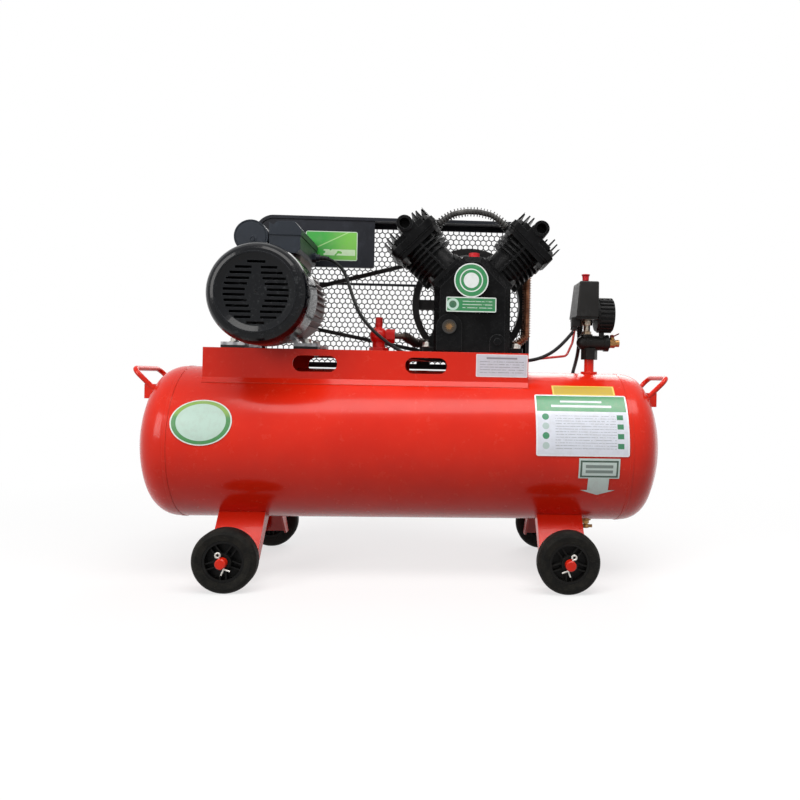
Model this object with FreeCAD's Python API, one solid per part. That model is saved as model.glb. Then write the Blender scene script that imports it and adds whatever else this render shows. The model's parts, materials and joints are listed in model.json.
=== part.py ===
import FreeCAD, Part
import math
import os

# Portable air compressor: a belt-driven V-twin piston pump and an electric motor on a
# horizontal air receiver that stands on four small wheels.
# Millimetres. +X to the right, +Y towards the belt guard, +Z up.
# Origin on the floor under the middle of the receiver.

# ---------------------------------------------------------------- sizes
weld_gap = 0.2            # seat of a welded piece on a curved surface
run_clear = 0.05          # radial clearance of a shaft in its bore
fit_clear = 0.3           # clearance between pieces that only lie beside each other

# receiver
tank_radius = 150.0
tank_wall = 3.0
tank_axis_z = 254.0
tank_top = tank_axis_z + tank_radius
seam_x = 435.0            # weld seam between shell and dished head
head_depth = 75.0         # torispherical head
head_knuckle = 51.0
head_skirt = 4.0          # short cylindrical skirt of the head
seam_bead = 1.6

# wheels, axles and legs
wheel_x = seam_x - 127.0
wheel_radius = 57.5
wheel_width = 36.0
wheel_mid_y = 182.0
hub_radius = 37.0
axle_radius = 9.5
axle_half = 215.0
pin_inset = 8.0           # split pin from the end of the axle
pin_radius = 1.8
pin_tilt = 24.0          # split pins lean by this angle
leg_width = 89.0
leg_sheet = 4.0
leg_top_y = 78.0
leg_drop = 3.9            # line of the leg below the receiver at leg_top_y
leg_head = 17.0           # top edge of the leg above that point
leg_foot_y = 143.0
leg_foot_z = 42.0

# carrying handles
handle_rod = 5.0
handle_x = seam_x + 88.0
handle_z = tank_axis_z + 143.0
handle_half = 67.0
handle_root_y = 61.0
handle_root_z = tank_axis_z + 101.0
handle_root_x = seam_x + 58.0
lug_half = 3.0
handle_bend = 16.0

# folded base plate
plate_left = -386.0
plate_right = 240.0
plate_top = tank_top + 36.0
plate_half = 85.0
plate_sheet = 3.0
plate_web_z = plate_top - 57.0
plate_lip_y = 100.0
slot_z = plate_top - 28.0
slot_half_height = 15.5

# pump
pump_x = 129.0
crank_z = plate_top + 110.0
case_half = 76.0
case_front = -70.0
case_rear = 58.0
case_wall = 8.0
case_bevel = 12.0         # sloping border of the front face
deck_s = 70.0             # deck of each cylinder from the crank axis
case_top = 81.0           # flat top above the crank axis
foot_half = 103.0
foot_thick = 10.5
foot_bolt = 89.0
bank_offset = 7.0         # each bank from the middle plane, the rods lie side by side
bore_radius = 32.5
barrel_radius = bore_radius + 5.5
fin_radius = barrel_radius + 11.0
fin_count = 6
whole_fins = 3            # the fins below these stop at the inner side
fin_pitch = 10.5
fin_thick = 3.2
cylinder_s = 157.0
valve_plate_thick = 4.0
head_flange_thick = 13.0
head_top_s = 204.0
head_half = 56.0
port_s = 197.0
port_u = 4.0
port_radius = 10.5
port_depth = 30.0
crank_throw = 19.0
crank_pin_radius = 12.0
journal_radius = 15.0
rod_centre = 112.0
rod_thick = 11.0
bearing_y = 90.0

# drive
belt_y = 112.5
flywheel_radius = 125.0
flywheel_width = 29.0
flywheel_rim = 14.0
flywheel_spokes = 5
pulley_radius = 37.5
pulley_width = 22.0
belt_width = 12.6
belt_thick = 8.0
belt_sink = 1.0           # belt back below the rim edge

# motor, a foot-mounted frame with a 90 mm shaft height
motor_x = -261.0
motor_pad = 5.0
motor_height = 90.0
motor_frame_radius = 78.0
motor_fin_radius = 86.0
motor_bore = 66.0
frame_front = -105.0
frame_rear = 70.0
motor_shoulder = 88.0
motor_shaft = 12.0
motor_shaft_end = 137.0
foot_row_front = -93.0
foot_row_rear = 32.0
foot_half_a = 70.0
cowl_radius = 92.5
cowl_face_radius = 73.0
cowl_front = -198.0
cowl_rear = -100.0
cowl_sheet = 2.5
slot_rows = 12
slot_pitch = 9.9
slot_height = 4.6
slot_circle = 58.0
diamond_half = 21.0
dish_depth = 6.0          # dished middle of the cowl face
dish_inner = 60.0
dish_outer = 70.0

# belt guard
guard_left = -337.0
guard_right = 262.0
guard_bottom = plate_top - 32.0
guard_top = plate_top + 295.0
guard_front = 90.0
guard_back = 157.0
guard_corner = 40.0
guard_sheet = 2.0
guard_frame = 12.0

# outlet group
riser_x = seam_x - 58.0
riser_radius = 10.0
hex_z = tank_top + 29.0
valve_z = hex_z + 35.0
manifold_radius = 15.5
manifold_z1 = valve_z + manifold_radius
manifold_x0 = riser_x - 27.0
manifold_x1 = riser_x + 39.0
switch_x = riser_x - 12.0
switch_z0 = valve_z + 46.0
switch_z1 = switch_z0 + 77.0
knob_x = riser_x - 13.0
knob_y = -14.0
gauge_x0 = riser_x + 10.5
gauge_length = 34.0
gauge_radius = 36.0
gauge_y = -7.0
gauge_z = valve_z + 57.0
valve_end_x = riser_x + 62.0
drain_x = riser_x - 1.0
check_x = -59.0

motor_z = plate_top + motor_pad + motor_height
floor_z = 0.0
os.makedirs("parts", exist_ok=True)
V = FreeCAD.Vector
X, Y, Z = V(1, 0, 0), V(0, 1, 0), V(0, 0, 1)


# ---------------------------------------------------------------- helpers
def save(name, *solids):
    """Write one node; several solids become one compound."""
    flat = []
    for s in solids:
        flat += s.Solids
    shape = flat[0] if len(flat) == 1 else Part.makeCompound(flat)
    shape.exportStep("parts/" + name + ".step")
    return shape


def box(x0, x1, y0, y1, z0, z1):
    return Part.makeBox(x1 - x0, y1 - y0, z1 - z0, V(x0, y0, z0))


def rod(radius, start, end):
    start, end = V(*start), V(*end)
    return Part.makeCylinder(radius, (end - start).Length, start, end - start)


def ring(outer, inner, start, end):
    return rod(outer, start, end).cut(rod(inner, start, end))


def hexagon(flats, start, end):
    """Hexagonal prism with the given distance across flats."""
    start, end = V(*start), V(*end)
    axis = (end - start)
    corner = flats / math.sqrt(3)
    prism = Part.Face(Part.makePolygon([
        V(corner * math.cos(math.radians(60 * i)), corner * math.sin(math.radians(60 * i)), 0)
        for i in range(7)])).extrude(V(0, 0, axis.Length))
    prism.Placement = FreeCAD.Placement(start, FreeCAD.Rotation(Z, axis))
    return prism


def plate(points, direction, thick):
    """Extrude a closed outline of 3-D points."""
    pts = [V(*p) for p in points]
    return Part.Face(Part.makePolygon(pts + [pts[0]])).extrude(V(*direction) * thick)


def fillet_where(shape, radius, test):
    edges = [e for e in shape.Edges if test(e)]
    return shape.makeFillet(radius, edges) if edges else shape


def along(edge, axis):
    """True if a straight edge runs along the axis."""
    a, b = edge.Vertexes[0].Point, edge.Vertexes[-1].Point
    d = b - a
    return d.Length > 0.1 and abs(abs(d.normalize().dot(axis)) - 1) < 1e-6


def rounded_block(x0, x1, y0, y1, z0, z1, radius, axis):
    block = box(x0, x1, y0, y1, z0, z1)
    return fillet_where(block, radius, lambda e: along(e, axis))


def bend_path(points, radius=None):
    """Straight runs joined by tangent arcs; with no radius each arc takes 0.45 of its
    shorter run."""
    pts = [V(*p) for p in points]
    edges = []
    last = pts[0]
    for i in range(1, len(pts) - 1):
        back, ahead = pts[i - 1] - pts[i], pts[i + 1] - pts[i]
        turn = math.pi - back.getAngle(ahead)
        if turn < 1e-3:
            continue
        half = math.tan(turn / 2)
        reach = 0.45 * min(back.Length, ahead.Length)
        if radius:
            reach = min(reach, radius * half)
        r = reach / half
        b, a = V(back).normalize(), V(ahead).normalize()
        t0, t1 = pts[i] + b * reach, pts[i] + a * reach
        centre = pts[i] + (b + a).normalize() * (r / math.cos(turn / 2))
        mid = centre + (pts[i] - centre).normalize() * r
        edges.append(Part.makeLine(last, t0))
        edges.append(Part.Arc(t0, mid, t1).toShape())
        last = t1
    edges.append(Part.makeLine(last, pts[-1]))
    return Part.Wire(edges)


def pipe(points, radius, bend=None):
    path = bend_path(points, bend)
    d = V(*points[1]) - V(*points[0])
    profile = Part.Wire(Part.makeCircle(radius, V(*points[0]), d))
    return path.makePipeShell([profile], True, False)


def revolve(points, centre, axis):
    """Solid of revolution of an outline given as 3-D points."""
    pts = [V(*p) for p in points]
    face = Part.Face(Part.makePolygon(pts + [pts[0]]))
    return face.revolve(V(*centre), axis, 360)


def mirror_x(shape):
    return shape.mirror(V(0, 0, 0), X)


def mirror_y(shape):
    return shape.mirror(V(0, 0, 0), Y)


def turned(shape, centre, axis, angle):
    s = shape.copy()
    s.rotate(V(*centre), axis, angle)
    return s


# ---------------------------------------------------------------- receiver
def dome(grow):
    """Solid inside of a torispherical head on its short skirt, offset outwards by grow."""
    start = seam_x + head_skirt
    knuckle = head_knuckle
    crown = ((tank_radius - knuckle) ** 2 + head_depth ** 2 - knuckle ** 2) / (
        2 * (head_depth - knuckle))
    crown_x, knuckle_r = start + head_depth - crown, tank_radius - knuckle
    lean = math.atan2(knuckle_r, start - crown_x)
    half, mid = lean / 2, (lean + math.pi / 2) / 2
    ko, co = knuckle + grow, crown + grow

    def at(x, r, size, angle):
        return V(x + size * math.cos(angle), 0, tank_axis_z + r + size * math.sin(angle))
    rim, join = at(start, knuckle_r, ko, math.pi / 2), at(start, knuckle_r, ko, lean)
    tip = at(crown_x, 0, co, 0)
    centre = V(seam_x, 0, tank_axis_z)
    corner = V(seam_x, 0, tank_axis_z + tank_radius + grow)
    wire = Part.Wire([Part.makeLine(centre, corner), Part.makeLine(corner, rim),
                      Part.Arc(rim, at(start, knuckle_r, ko, mid), join).toShape(),
                      Part.Arc(join, at(crown_x, 0, co, half), tip).toShape(),
                      Part.makeLine(tip, centre)])
    body = Part.Face(wire).revolve(centre, X, 360)
    if body.Volume < 0:
        body.reverse()
    return body


def dished_head():
    return dome(0).cut(dome(-tank_wall))


inner_radius = tank_radius - tank_wall
shell = ring(tank_radius, inner_radius, (-seam_x, 0, tank_axis_z), (seam_x, 0, tank_axis_z))
for side in (1, -1):
    bead_x = side * (seam_x - 3)
    bead = ring(tank_radius + seam_bead / 2, tank_radius - 1, (bead_x - 3, 0, tank_axis_z),
                (bead_x + 3, 0, tank_axis_z))
    shell = shell.fuse(bead)
tank_cut = rod(tank_radius + weld_gap, (-seam_x, 0, tank_axis_z), (seam_x, 0, tank_axis_z))
stub_radius = 10.0
drain_radius = 7.0
shell = shell.cut(rod(riser_radius + fit_clear, (riser_x, 0, tank_axis_z), (riser_x, 0, tank_top + 20)))
shell = shell.cut(rod(stub_radius + fit_clear, (check_x, 0, tank_axis_z), (check_x, 0, tank_top + 20)))
shell = shell.cut(rod(drain_radius + fit_clear, (drain_x, 0, 0), (drain_x, 0, tank_axis_z)))
save("tank_shell", shell)
right_head = dished_head()
save("tank_heads", right_head, mirror_x(right_head))

# ---------------------------------------------------------------- handles
head_trim = dome(weld_gap)
root = (handle_root_x - 10, handle_root_y - 2, handle_root_z)
handle = pipe([(root[0], -root[1], root[2]), (handle_x, -handle_half, handle_z),
               (handle_x, handle_half, handle_z), (root[0], root[1], root[2])],
              handle_rod, handle_bend)
for side in (1, -1):
    lug = box(handle_root_x - 23, handle_root_x + 9, side * handle_root_y - lug_half,
              side * handle_root_y + lug_half, handle_root_z - 16, handle_root_z + 12)
    handle = handle.fuse(lug)
handle = handle.cut(head_trim)
handle = max(handle.Solids, key=lambda s: s.Volume)
save("handles", handle, mirror_x(handle))


# ---------------------------------------------------------------- legs, axles and wheels
def leg():
    """Folded channel from the receiver down to the axle, right-hand side at the back."""
    x0, x1 = wheel_x - leg_width / 2, wheel_x + leg_width / 2
    drop = leg_foot_z
    under_z = tank_axis_z - math.sqrt(tank_radius ** 2 - leg_top_y ** 2) - leg_drop
    head_z = under_z + leg_head
    slope = (leg_foot_y - leg_top_y) / (under_z - drop)
    top_y = leg_foot_y - slope * (head_z - drop)
    face = plate([(x0, leg_foot_y, drop), (x0, top_y, head_z), (x0, top_y - leg_sheet, head_z),
                  (x0, leg_foot_y - leg_sheet, drop)], (1, 0, 0), leg_width)
    side = plate([(x0, leg_foot_y, drop), (x0, top_y, head_z), (x0, top_y - 42, head_z),
                  (x0, leg_foot_y - 26, drop)], (1, 0, 0), leg_sheet)
    other = side.copy()
    other.translate(V(leg_width - leg_sheet, 0, 0))
    body = face.fuse([side, other])
    body = body.cut(tank_cut)
    body = body.cut(rod(axle_radius + fit_clear / 2, (wheel_x, 0, wheel_radius),
                        (wheel_x, axle_half, wheel_radius)))
    return max(body.Solids, key=lambda s: s.Volume)


leg_rear_right = leg()
leg_front_right = mirror_y(leg_rear_right)
save("legs", leg_rear_right, leg_front_right, mirror_x(leg_rear_right), mirror_x(leg_front_right))


def axle():
    bar = rod(axle_radius, (wheel_x, -axle_half, wheel_radius), (wheel_x, axle_half, wheel_radius))
    bar = bar.makeChamfer(1.5, [e for e in bar.Edges if e.Closed and len(e.Vertexes) == 1
                                and abs(abs(e.Vertexes[0].Y) - axle_half) < 0.1])
    for side in (1, -1):
        y = side * (axle_half - pin_inset)
        hole = rod(pin_radius + fit_clear, (wheel_x, y, 0), (wheel_x, y, 2 * wheel_radius))
        bar = bar.cut(turned(hole, (wheel_x, y, wheel_radius), Y, pin_tilt))
    return bar


right_axle = axle()
save("axles", right_axle, mirror_x(right_axle))


def split_pin(side):
    y = side * (axle_half - pin_inset)
    top = wheel_radius + axle_radius + 1.5
    low = wheel_radius - axle_radius - 1.5
    shank = rod(pin_radius, (wheel_x, y, low - 1), (wheel_x, y, top + 1))
    eye = Part.makeTorus(4.0, pin_radius, V(wheel_x, y, top + 4.4), Y)
    pin = shank.fuse(eye)
    for way in (1, -1):
        leg_end = (wheel_x + way * 8.5, y, low - 8)
        pin = pin.fuse(rod(pin_radius * 0.85, (wheel_x, y, low), leg_end))
    return turned(pin, (wheel_x, y, wheel_radius), Y, pin_tilt)


front_pin = split_pin(-1)
rear_pin = mirror_y(front_pin)
save("split_pins", front_pin, rear_pin, mirror_x(front_pin), mirror_x(rear_pin))


def tyre():
    """Solid rubber tyre about the Y axis through the origin, centred on Y = 0."""
    half = wheel_width / 2
    r = wheel_radius
    inner = hub_radius + run_clear
    outline = [(inner, -half + 3), (r - 9, -half + 1), (r - 3.5, -half + 3.5), (r, -half + 9),
               (r, half - 9), (r - 3.5, half - 3.5), (r - 9, half - 1), (inner, half - 3)]
    return revolve([(x, y, 0) for x, y in outline], (0, 0, 0), Y)


def hub():
    """Moulded hub with a deep rim, a web, paired ribs and a long boss."""
    half = wheel_width / 2 - 3.5
    rim_inner = hub_radius - 4.5
    boss = axle_radius + 5.5
    body = ring(hub_radius, rim_inner, (0, -half, 0), (0, half, 0))
    body = body.fuse(rod(hub_radius - 1, (0, -3, 0), (0, 3, 0)))
    body = body.fuse(rod(boss, (0, -wheel_width / 2 - 1, 0), (0, wheel_width / 2 + 1, 0)))
    rib_set = []
    for i in range(5):
        for shift in (-5.0, 5.0):
            rib = box(boss - 3, rim_inner + 1.5, -half + 3, half - 3, shift - 1.2, shift + 1.2)
            rib_set.append(turned(rib, (0, 0, 0), Y, 72 * i + 18))
    body = body.fuse(rib_set)
    return body.cut(rod(axle_radius + run_clear, (0, -40, 0), (0, 40, 0))).removeSplitter()


tyre_shape, hub_shape = tyre(), hub()
for name, sx, sy in (("front_left", -1, -1), ("front_right", 1, -1),
                     ("rear_left", -1, 1), ("rear_right", 1, 1)):
    for kind, source in (("tyre_", tyre_shape), ("hub_", hub_shape)):
        copy = source.copy()
        copy.translate(V(sx * wheel_x, sy * wheel_mid_y, wheel_radius))
        save(kind + name, copy)

# ---------------------------------------------------------------- base plate
lip_z = tank_axis_z + math.sqrt(tank_radius ** 2 - plate_lip_y ** 2) - 4
length = plate_right - plate_left
outer = [(-plate_lip_y, lip_z), (-plate_half, plate_web_z), (-plate_half, plate_top),
         (plate_half, plate_top), (plate_half, plate_web_z), (plate_lip_y, lip_z)]
inner_half = plate_half - plate_sheet
inner = [(plate_lip_y - plate_sheet * 1.2, lip_z), (inner_half, plate_web_z - 1.5),
         (inner_half, plate_top - plate_sheet), (-inner_half, plate_top - plate_sheet),
         (-inner_half, plate_web_z - 1.5), (-plate_lip_y + plate_sheet * 1.2, lip_z)]
base = plate([(plate_left, y, z) for y, z in outer + inner], (1, 0, 0), length)
base = base.cut(tank_cut)


def long_slot(x0, x1):
    h = slot_half_height
    y = plate_lip_y + 5
    body = box(x0 + h, x1 - h, -y, y, slot_z - h, slot_z + h)
    for x in (x0 + h, x1 - h):
        body = body.fuse(rod(h, (x, -y, slot_z), (x, y, slot_z)))
    return body


for x0, x1 in ((-216, -131), (0, 81)):
    base = base.cut(long_slot(x0, x1))
cable_hole = rounded_block(-34, 22, -50, -30, plate_top - 20, plate_top + 10, 9.9, Z)
base = base.cut(cable_hole)
base = base.cut(rod(stub_radius + 1, (check_x, 0, tank_top), (check_x, 0, plate_top + 10)))
motor_bolts = [(motor_x + sx * foot_half_a, y) for y in (foot_row_front, foot_row_rear)
               for sx in (-1, 1)]
motor_bolts = [(x, max(y, -plate_half + 16)) for x, y in motor_bolts]
pump_bolts = [(pump_x + sx * foot_bolt, y) for sx in (-1, 1) for y in (-50, 30)]
bolt_radius = 4.0
for x, y in motor_bolts + pump_bolts:
    base = base.cut(rod(bolt_radius + fit_clear, (x, y, plate_top - 20), (x, y, plate_top + 10)))
for x in (plate_left + 14, (plate_left + plate_right) / 2 + 60, plate_right - 14):
    for side in (1, -1):
        tab = plate([(x - 9, side * 97, lip_z + 9), (x - 9, side * 112, lip_z - 9),
                     (x - 9, side * 108, lip_z - 12), (x - 9, side * 94, lip_z + 4)],
                    (1, 0, 0), 18)
        base = base.fuse(tab.cut(tank_cut))
base = max(base.removeSplitter().Solids, key=lambda s: s.Volume)
save("base_plate", base)

# ---------------------------------------------------------------- drain cock
drain_top = tank_axis_z - tank_radius
drain = rod(drain_radius, (drain_x, 0, drain_top + 6), (drain_x, 0, drain_top - 6))
drain = drain.fuse(rod(drain_radius + 4, (drain_x, 0, drain_top + 3), (drain_x, 0, drain_top - 4))
                   .cut(tank_cut))
drain = drain.fuse(hexagon(13, (drain_x, 0, drain_top - 4), (drain_x, 0, drain_top - 11)))
drain = drain.fuse(rod(4.0, (drain_x, 0, drain_top - 11), (drain_x, 0, drain_top - 20)))
drain = drain.cut(rod(2.0, (drain_x, 0, drain_top + 10), (drain_x, 0, drain_top - 30)))
save("drain_body", drain)
wing_z = drain_top - 13.3
wing = ring(7.0, 4.0 + run_clear, (drain_x, 0, wing_z), (drain_x, 0, wing_z - 7))
for side in (1, -1):
    ear = box(6.0, 14.0, -1.5, 1.5, wing_z - 6.5, wing_z - 0.5)
    ear.translate(V(drain_x, 0, 0))
    wing = wing.fuse(ear if side == 1 else turned(ear, (drain_x, 0, 0), Z, 180))
save("drain_wing", wing)


# ---------------------------------------------------------------- pump
def bank(shape, side):
    """Place a shape built about +Z (s axis) and X (u axis, inner side positive) on a bank.
    side is -1 for the left bank and +1 for the right."""
    s = shape.copy()
    if side > 0:
        s = s.mirror(V(0, 0, 0), X)
    s.rotate(V(0, 0, 0), Y, side * 45)
    s.translate(V(pump_x, side * bank_offset, crank_z))
    return s


outline = [(-case_half, plate_top - crank_z), (case_half, plate_top - crank_z),
           (case_half, deck_s * math.sqrt(2) - case_half),
           (deck_s * math.sqrt(2) - case_top, case_top),
           (case_top - deck_s * math.sqrt(2), case_top),
           (-case_half, deck_s * math.sqrt(2) - case_half)]


def case_prism(shrink, y0, y1):
    """Prism of the crankcase outline moved inwards by shrink."""
    k = math.tan(math.radians(22.5)) * shrink
    h = case_half - shrink
    d = deck_s * math.sqrt(2) - shrink * math.sqrt(2)
    t = case_top - shrink
    b = plate_top - crank_z + shrink
    pts = [(-h, b), (h, b), (h, d - h), (d - t, t), (t - d, t), (-h, d - h)]
    return plate([(pump_x + x, y0, crank_z + z) for x, z in pts], (0, 1, 0), y1 - y0)


bevel_y = case_front + case_bevel
case = case_prism(0, bevel_y, case_rear)
face_outer = Part.makePolygon([V(pump_x + x, bevel_y, crank_z + z)
                               for x, z in outline + outline[:1]])
h, d = case_half - case_bevel, (deck_s - case_bevel) * math.sqrt(2)
t = case_top - case_bevel
b = plate_top - crank_z
inner_pts = [(-h, b), (h, b), (h, d - h), (d - t, t), (t - d, t), (-h, d - h)]
face_inner = Part.makePolygon([V(pump_x + x, case_front, crank_z + z)
                               for x, z in inner_pts + inner_pts[:1]])
case = case.fuse(Part.makeLoft([face_outer, face_inner], True, True))
feet = rounded_block(pump_x - foot_half, pump_x + foot_half, bevel_y, case_rear,
                     plate_top, plate_top + foot_thick, 10, Z)
case = case.fuse(feet)
for side in (-1, 1):
    web = plate([(pump_x + side * case_half, -6, plate_top + 2),
                 (pump_x + side * (foot_half - 4), -6, plate_top + 2),
                 (pump_x + side * case_half, -6, plate_top + 48)], (0, 1, 0), 6)
    case = case.fuse(web)


def arched_boss(x, z, half, proud):
    """Boss of the front face with a round top and straight sides down to the foot."""
    arch = rod(half, (x, bevel_y, z), (x, case_front - proud, z))
    return arch.fuse(box(x - half, x + half, case_front - proud, bevel_y, plate_top + 3, z))


sight_x, sight_z = pump_x - 45.0, plate_top + 50.0
plug_x, plug_z = pump_x + 50.0, plate_top + 22.0
plug_hex = hexagon(13, (plug_x, case_front - 5, plug_z), (plug_x, case_front - 11, plug_z))
case = case.fuse([arched_boss(sight_x, sight_z, 25.0, 7.0), arched_boss(plug_x, plug_z, 15.0, 5.0),
                  plug_hex])
case = case.cut(case_prism(case_wall, case_front + 2 * case_wall, case_rear - case_wall))
sight_bore = 14.0
case = case.cut(rod(sight_bore, (sight_x, case_front - 20, sight_z),
                    (sight_x, case_front + 30, sight_z)))
spigot_radius = bore_radius + 4.5
for side in (-1, 1):
    hole = bank(rod(spigot_radius + fit_clear, (0, 0, 50), (0, 0, 100)), side)
    case = case.cut(hole)
housing_radius = 40.0
case = case.cut(rod(housing_radius + run_clear, (pump_x, 0, crank_z), (pump_x, 100, crank_z)))
breather_hole = 8.0
case = case.cut(rod(breather_hole + fit_clear, (pump_x + 4, -14, crank_z),
                    (pump_x + 4, -14, crank_z + 100)))
for x, y in pump_bolts:
    case = case.cut(rod(bolt_radius + fit_clear, (x, y, plate_top - 5), (x, y, plate_top + 40)))
case = max(case.removeSplitter().Solids, key=lambda s: s.Volume)
save("crankcase", case)

# rear bearing housing, closes the crankcase and carries both main bearings
cover = rod(housing_radius, (pump_x, case_rear - case_wall, crank_z), (pump_x, case_rear, crank_z))
cover = cover.fuse(rod(housing_radius + 14, (pump_x, case_rear, crank_z),
                       (pump_x, case_rear + 7, crank_z)))
cover = cover.fuse(rod(30, (pump_x, case_rear + 7, crank_z), (pump_x, bearing_y, crank_z)))
cover = cover.cut(rod(journal_radius + run_clear, (pump_x, 0, crank_z), (pump_x, 120, crank_z)))
save("bearing_cover", cover)

# oil sight glass
window_radius = 11.5
sight = ring(sight_bore - run_clear, window_radius, (sight_x, case_front + 2, sight_z),
             (sight_x, case_front - 10, sight_z))
sight = sight.fuse(rod(window_radius + 0.2, (sight_x, case_front - 2, sight_z),
                       (sight_x, case_front - 6, sight_z)))
save("sight_glass", sight)

# breather cap on the flat top
cap_x = pump_x + 4
top_z = crank_z + case_top
cap = rod(breather_hole, (cap_x, -14, top_z - 7), (cap_x, -14, top_z + 1))
cap = cap.fuse(rod(15, (cap_x, -14, top_z + 0.2), (cap_x, -14, top_z + 5)))
cap = cap.fuse(rod(11, (cap_x, -14, top_z + 5), (cap_x, -14, top_z + 14)))
save("breather_cap", cap)

# crankshaft with one overhung throw
web_y = bank_offset + rod_thick / 2 + 2.0
shaft_end = belt_y + flywheel_width / 2 + 4
crank = rod(journal_radius, (pump_x, web_y + 10, crank_z), (pump_x, shaft_end, crank_z))
crank = crank.fuse(rod(crank_pin_radius, (pump_x, -web_y, crank_z + crank_throw),
                       (pump_x, web_y + 2, crank_z + crank_throw)))
web = rod(20, (pump_x, web_y, crank_z + crank_throw), (pump_x, web_y + 12, crank_z + crank_throw))
weight = rod(52, (pump_x, web_y, crank_z), (pump_x, web_y + 12, crank_z))
weight = weight.cut(box(pump_x - 60, pump_x + 60, 0, 60, crank_z, crank_z + 60))
neck = box(pump_x - 20, pump_x + 20, web_y, web_y + 12, crank_z - 10, crank_z + crank_throw)
crank = crank.fuse([web, weight, neck]).removeSplitter()
save("crankshaft", crank)

# connecting rods: the big end is a ring wide enough for the whole orbit of the throw
eye_inner = crank_throw + crank_pin_radius + 1.0
eye_outer = eye_inner + 6.0
pin_r = 7.0


def con_rod():
    half = rod_thick / 2
    body = ring(eye_outer, eye_inner, (0, -half, 0), (0, half, 0))
    body = body.fuse(box(-9, 9, -half + 2, half - 2, eye_outer - 3, rod_centre - 9))
    body = body.fuse(rod(12, (0, -half, rod_centre), (0, half, rod_centre)))
    return body.cut(rod(pin_r + run_clear, (0, -20, rod_centre), (0, 20, rod_centre)))


def piston():
    r = bore_radius - run_clear
    low, high = rod_centre - 21, rod_centre + 24
    body = rod(r, (0, 0, low), (0, 0, high))
    body = body.cut(rod(r - 4, (0, 0, low - 1), (0, 0, high - 7)))
    for side in (1, -1):
        inner_y, outer_y = side * 8, side * (r - 2)
        body = body.fuse(rod(11, (0, inner_y, rod_centre), (0, outer_y, rod_centre)))
    body = body.cut(rod(pin_r + run_clear, (0, -60, rod_centre), (0, 60, rod_centre)))
    for z in (high - 6, high - 12, high - 18):
        body = body.cut(ring(r + 2, r - 2.2, (0, 0, z), (0, 0, z + 2.5)))
    return max(body.removeSplitter().Solids, key=lambda s: s.Volume)


wrist = ring(pin_r, 4, (0, -bore_radius + 3, rod_centre), (0, bore_radius - 3, rod_centre))
save("con_rods", bank(con_rod(), -1), bank(con_rod(), 1))
save("pistons", bank(piston(), -1), bank(piston(), 1))
save("wrist_pins", bank(wrist, -1), bank(wrist, 1))

stud = 4.0
stud_at = [(u, w) for u in (-43, 43) for w in (-43, 43)]
base_w = barrel_radius + 2.0
base_at = [(u, w) for u in (-33, 33) for w in (-base_w, base_w)]


def cylinder():
    """Finned barrel with a foot flange and a square top flange."""
    foot_s = deck_s + 8
    body = rod(barrel_radius, (0, 0, deck_s), (0, 0, cylinder_s))
    body = body.fuse(rod(spigot_radius, (0, 0, deck_s - 9), (0, 0, deck_s)))
    body = body.fuse(rounded_block(-40, 40, -base_w - 8, base_w + 8, deck_s, foot_s, 10, Z))
    fins = []
    for i in range(fin_count):
        s = cylinder_s - 9 - fin_pitch * (i + 1)
        r = fin_radius + 4 - 1.4 * i
        fin = rod(r, (0, 0, s), (0, 0, s + fin_thick))
        if i >= whole_fins:
            fin = fin.cut(box(4, r + 1, -r, r, s - 1, s + fin_thick + 1))
        fins.append(fin)
    for angle in (90, 180, 270):
        bar = box(barrel_radius - 2, fin_radius + 1, -2.2, 2.2, foot_s - 1, cylinder_s - 5)
        fins.append(turned(bar, (0, 0, 0), Z, angle))
    body = body.fuse(fins)
    body = body.fuse(rounded_block(-52, 52, -52, 52, cylinder_s - 9, cylinder_s, 16, Z))
    body = body.cut(rod(bore_radius, (0, 0, 0), (0, 0, cylinder_s + 10)))
    for u, w in stud_at:
        body = body.cut(rod(stud + fit_clear, (u, w, cylinder_s - 30), (u, w, cylinder_s + 5)))
    for u, w in base_at:
        body = body.cut(rod(3.0 + fit_clear, (u, w, deck_s - 2), (u, w, foot_s + 4)))
    return max(body.removeSplitter().Solids, key=lambda s: s.Volume)


plate_s = cylinder_s + valve_plate_thick
flange_s = plate_s + head_flange_thick
boss_s, boss_u, boss_out = 161.5, 55.0, 60.6
pipe_y = 14.0


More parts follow.
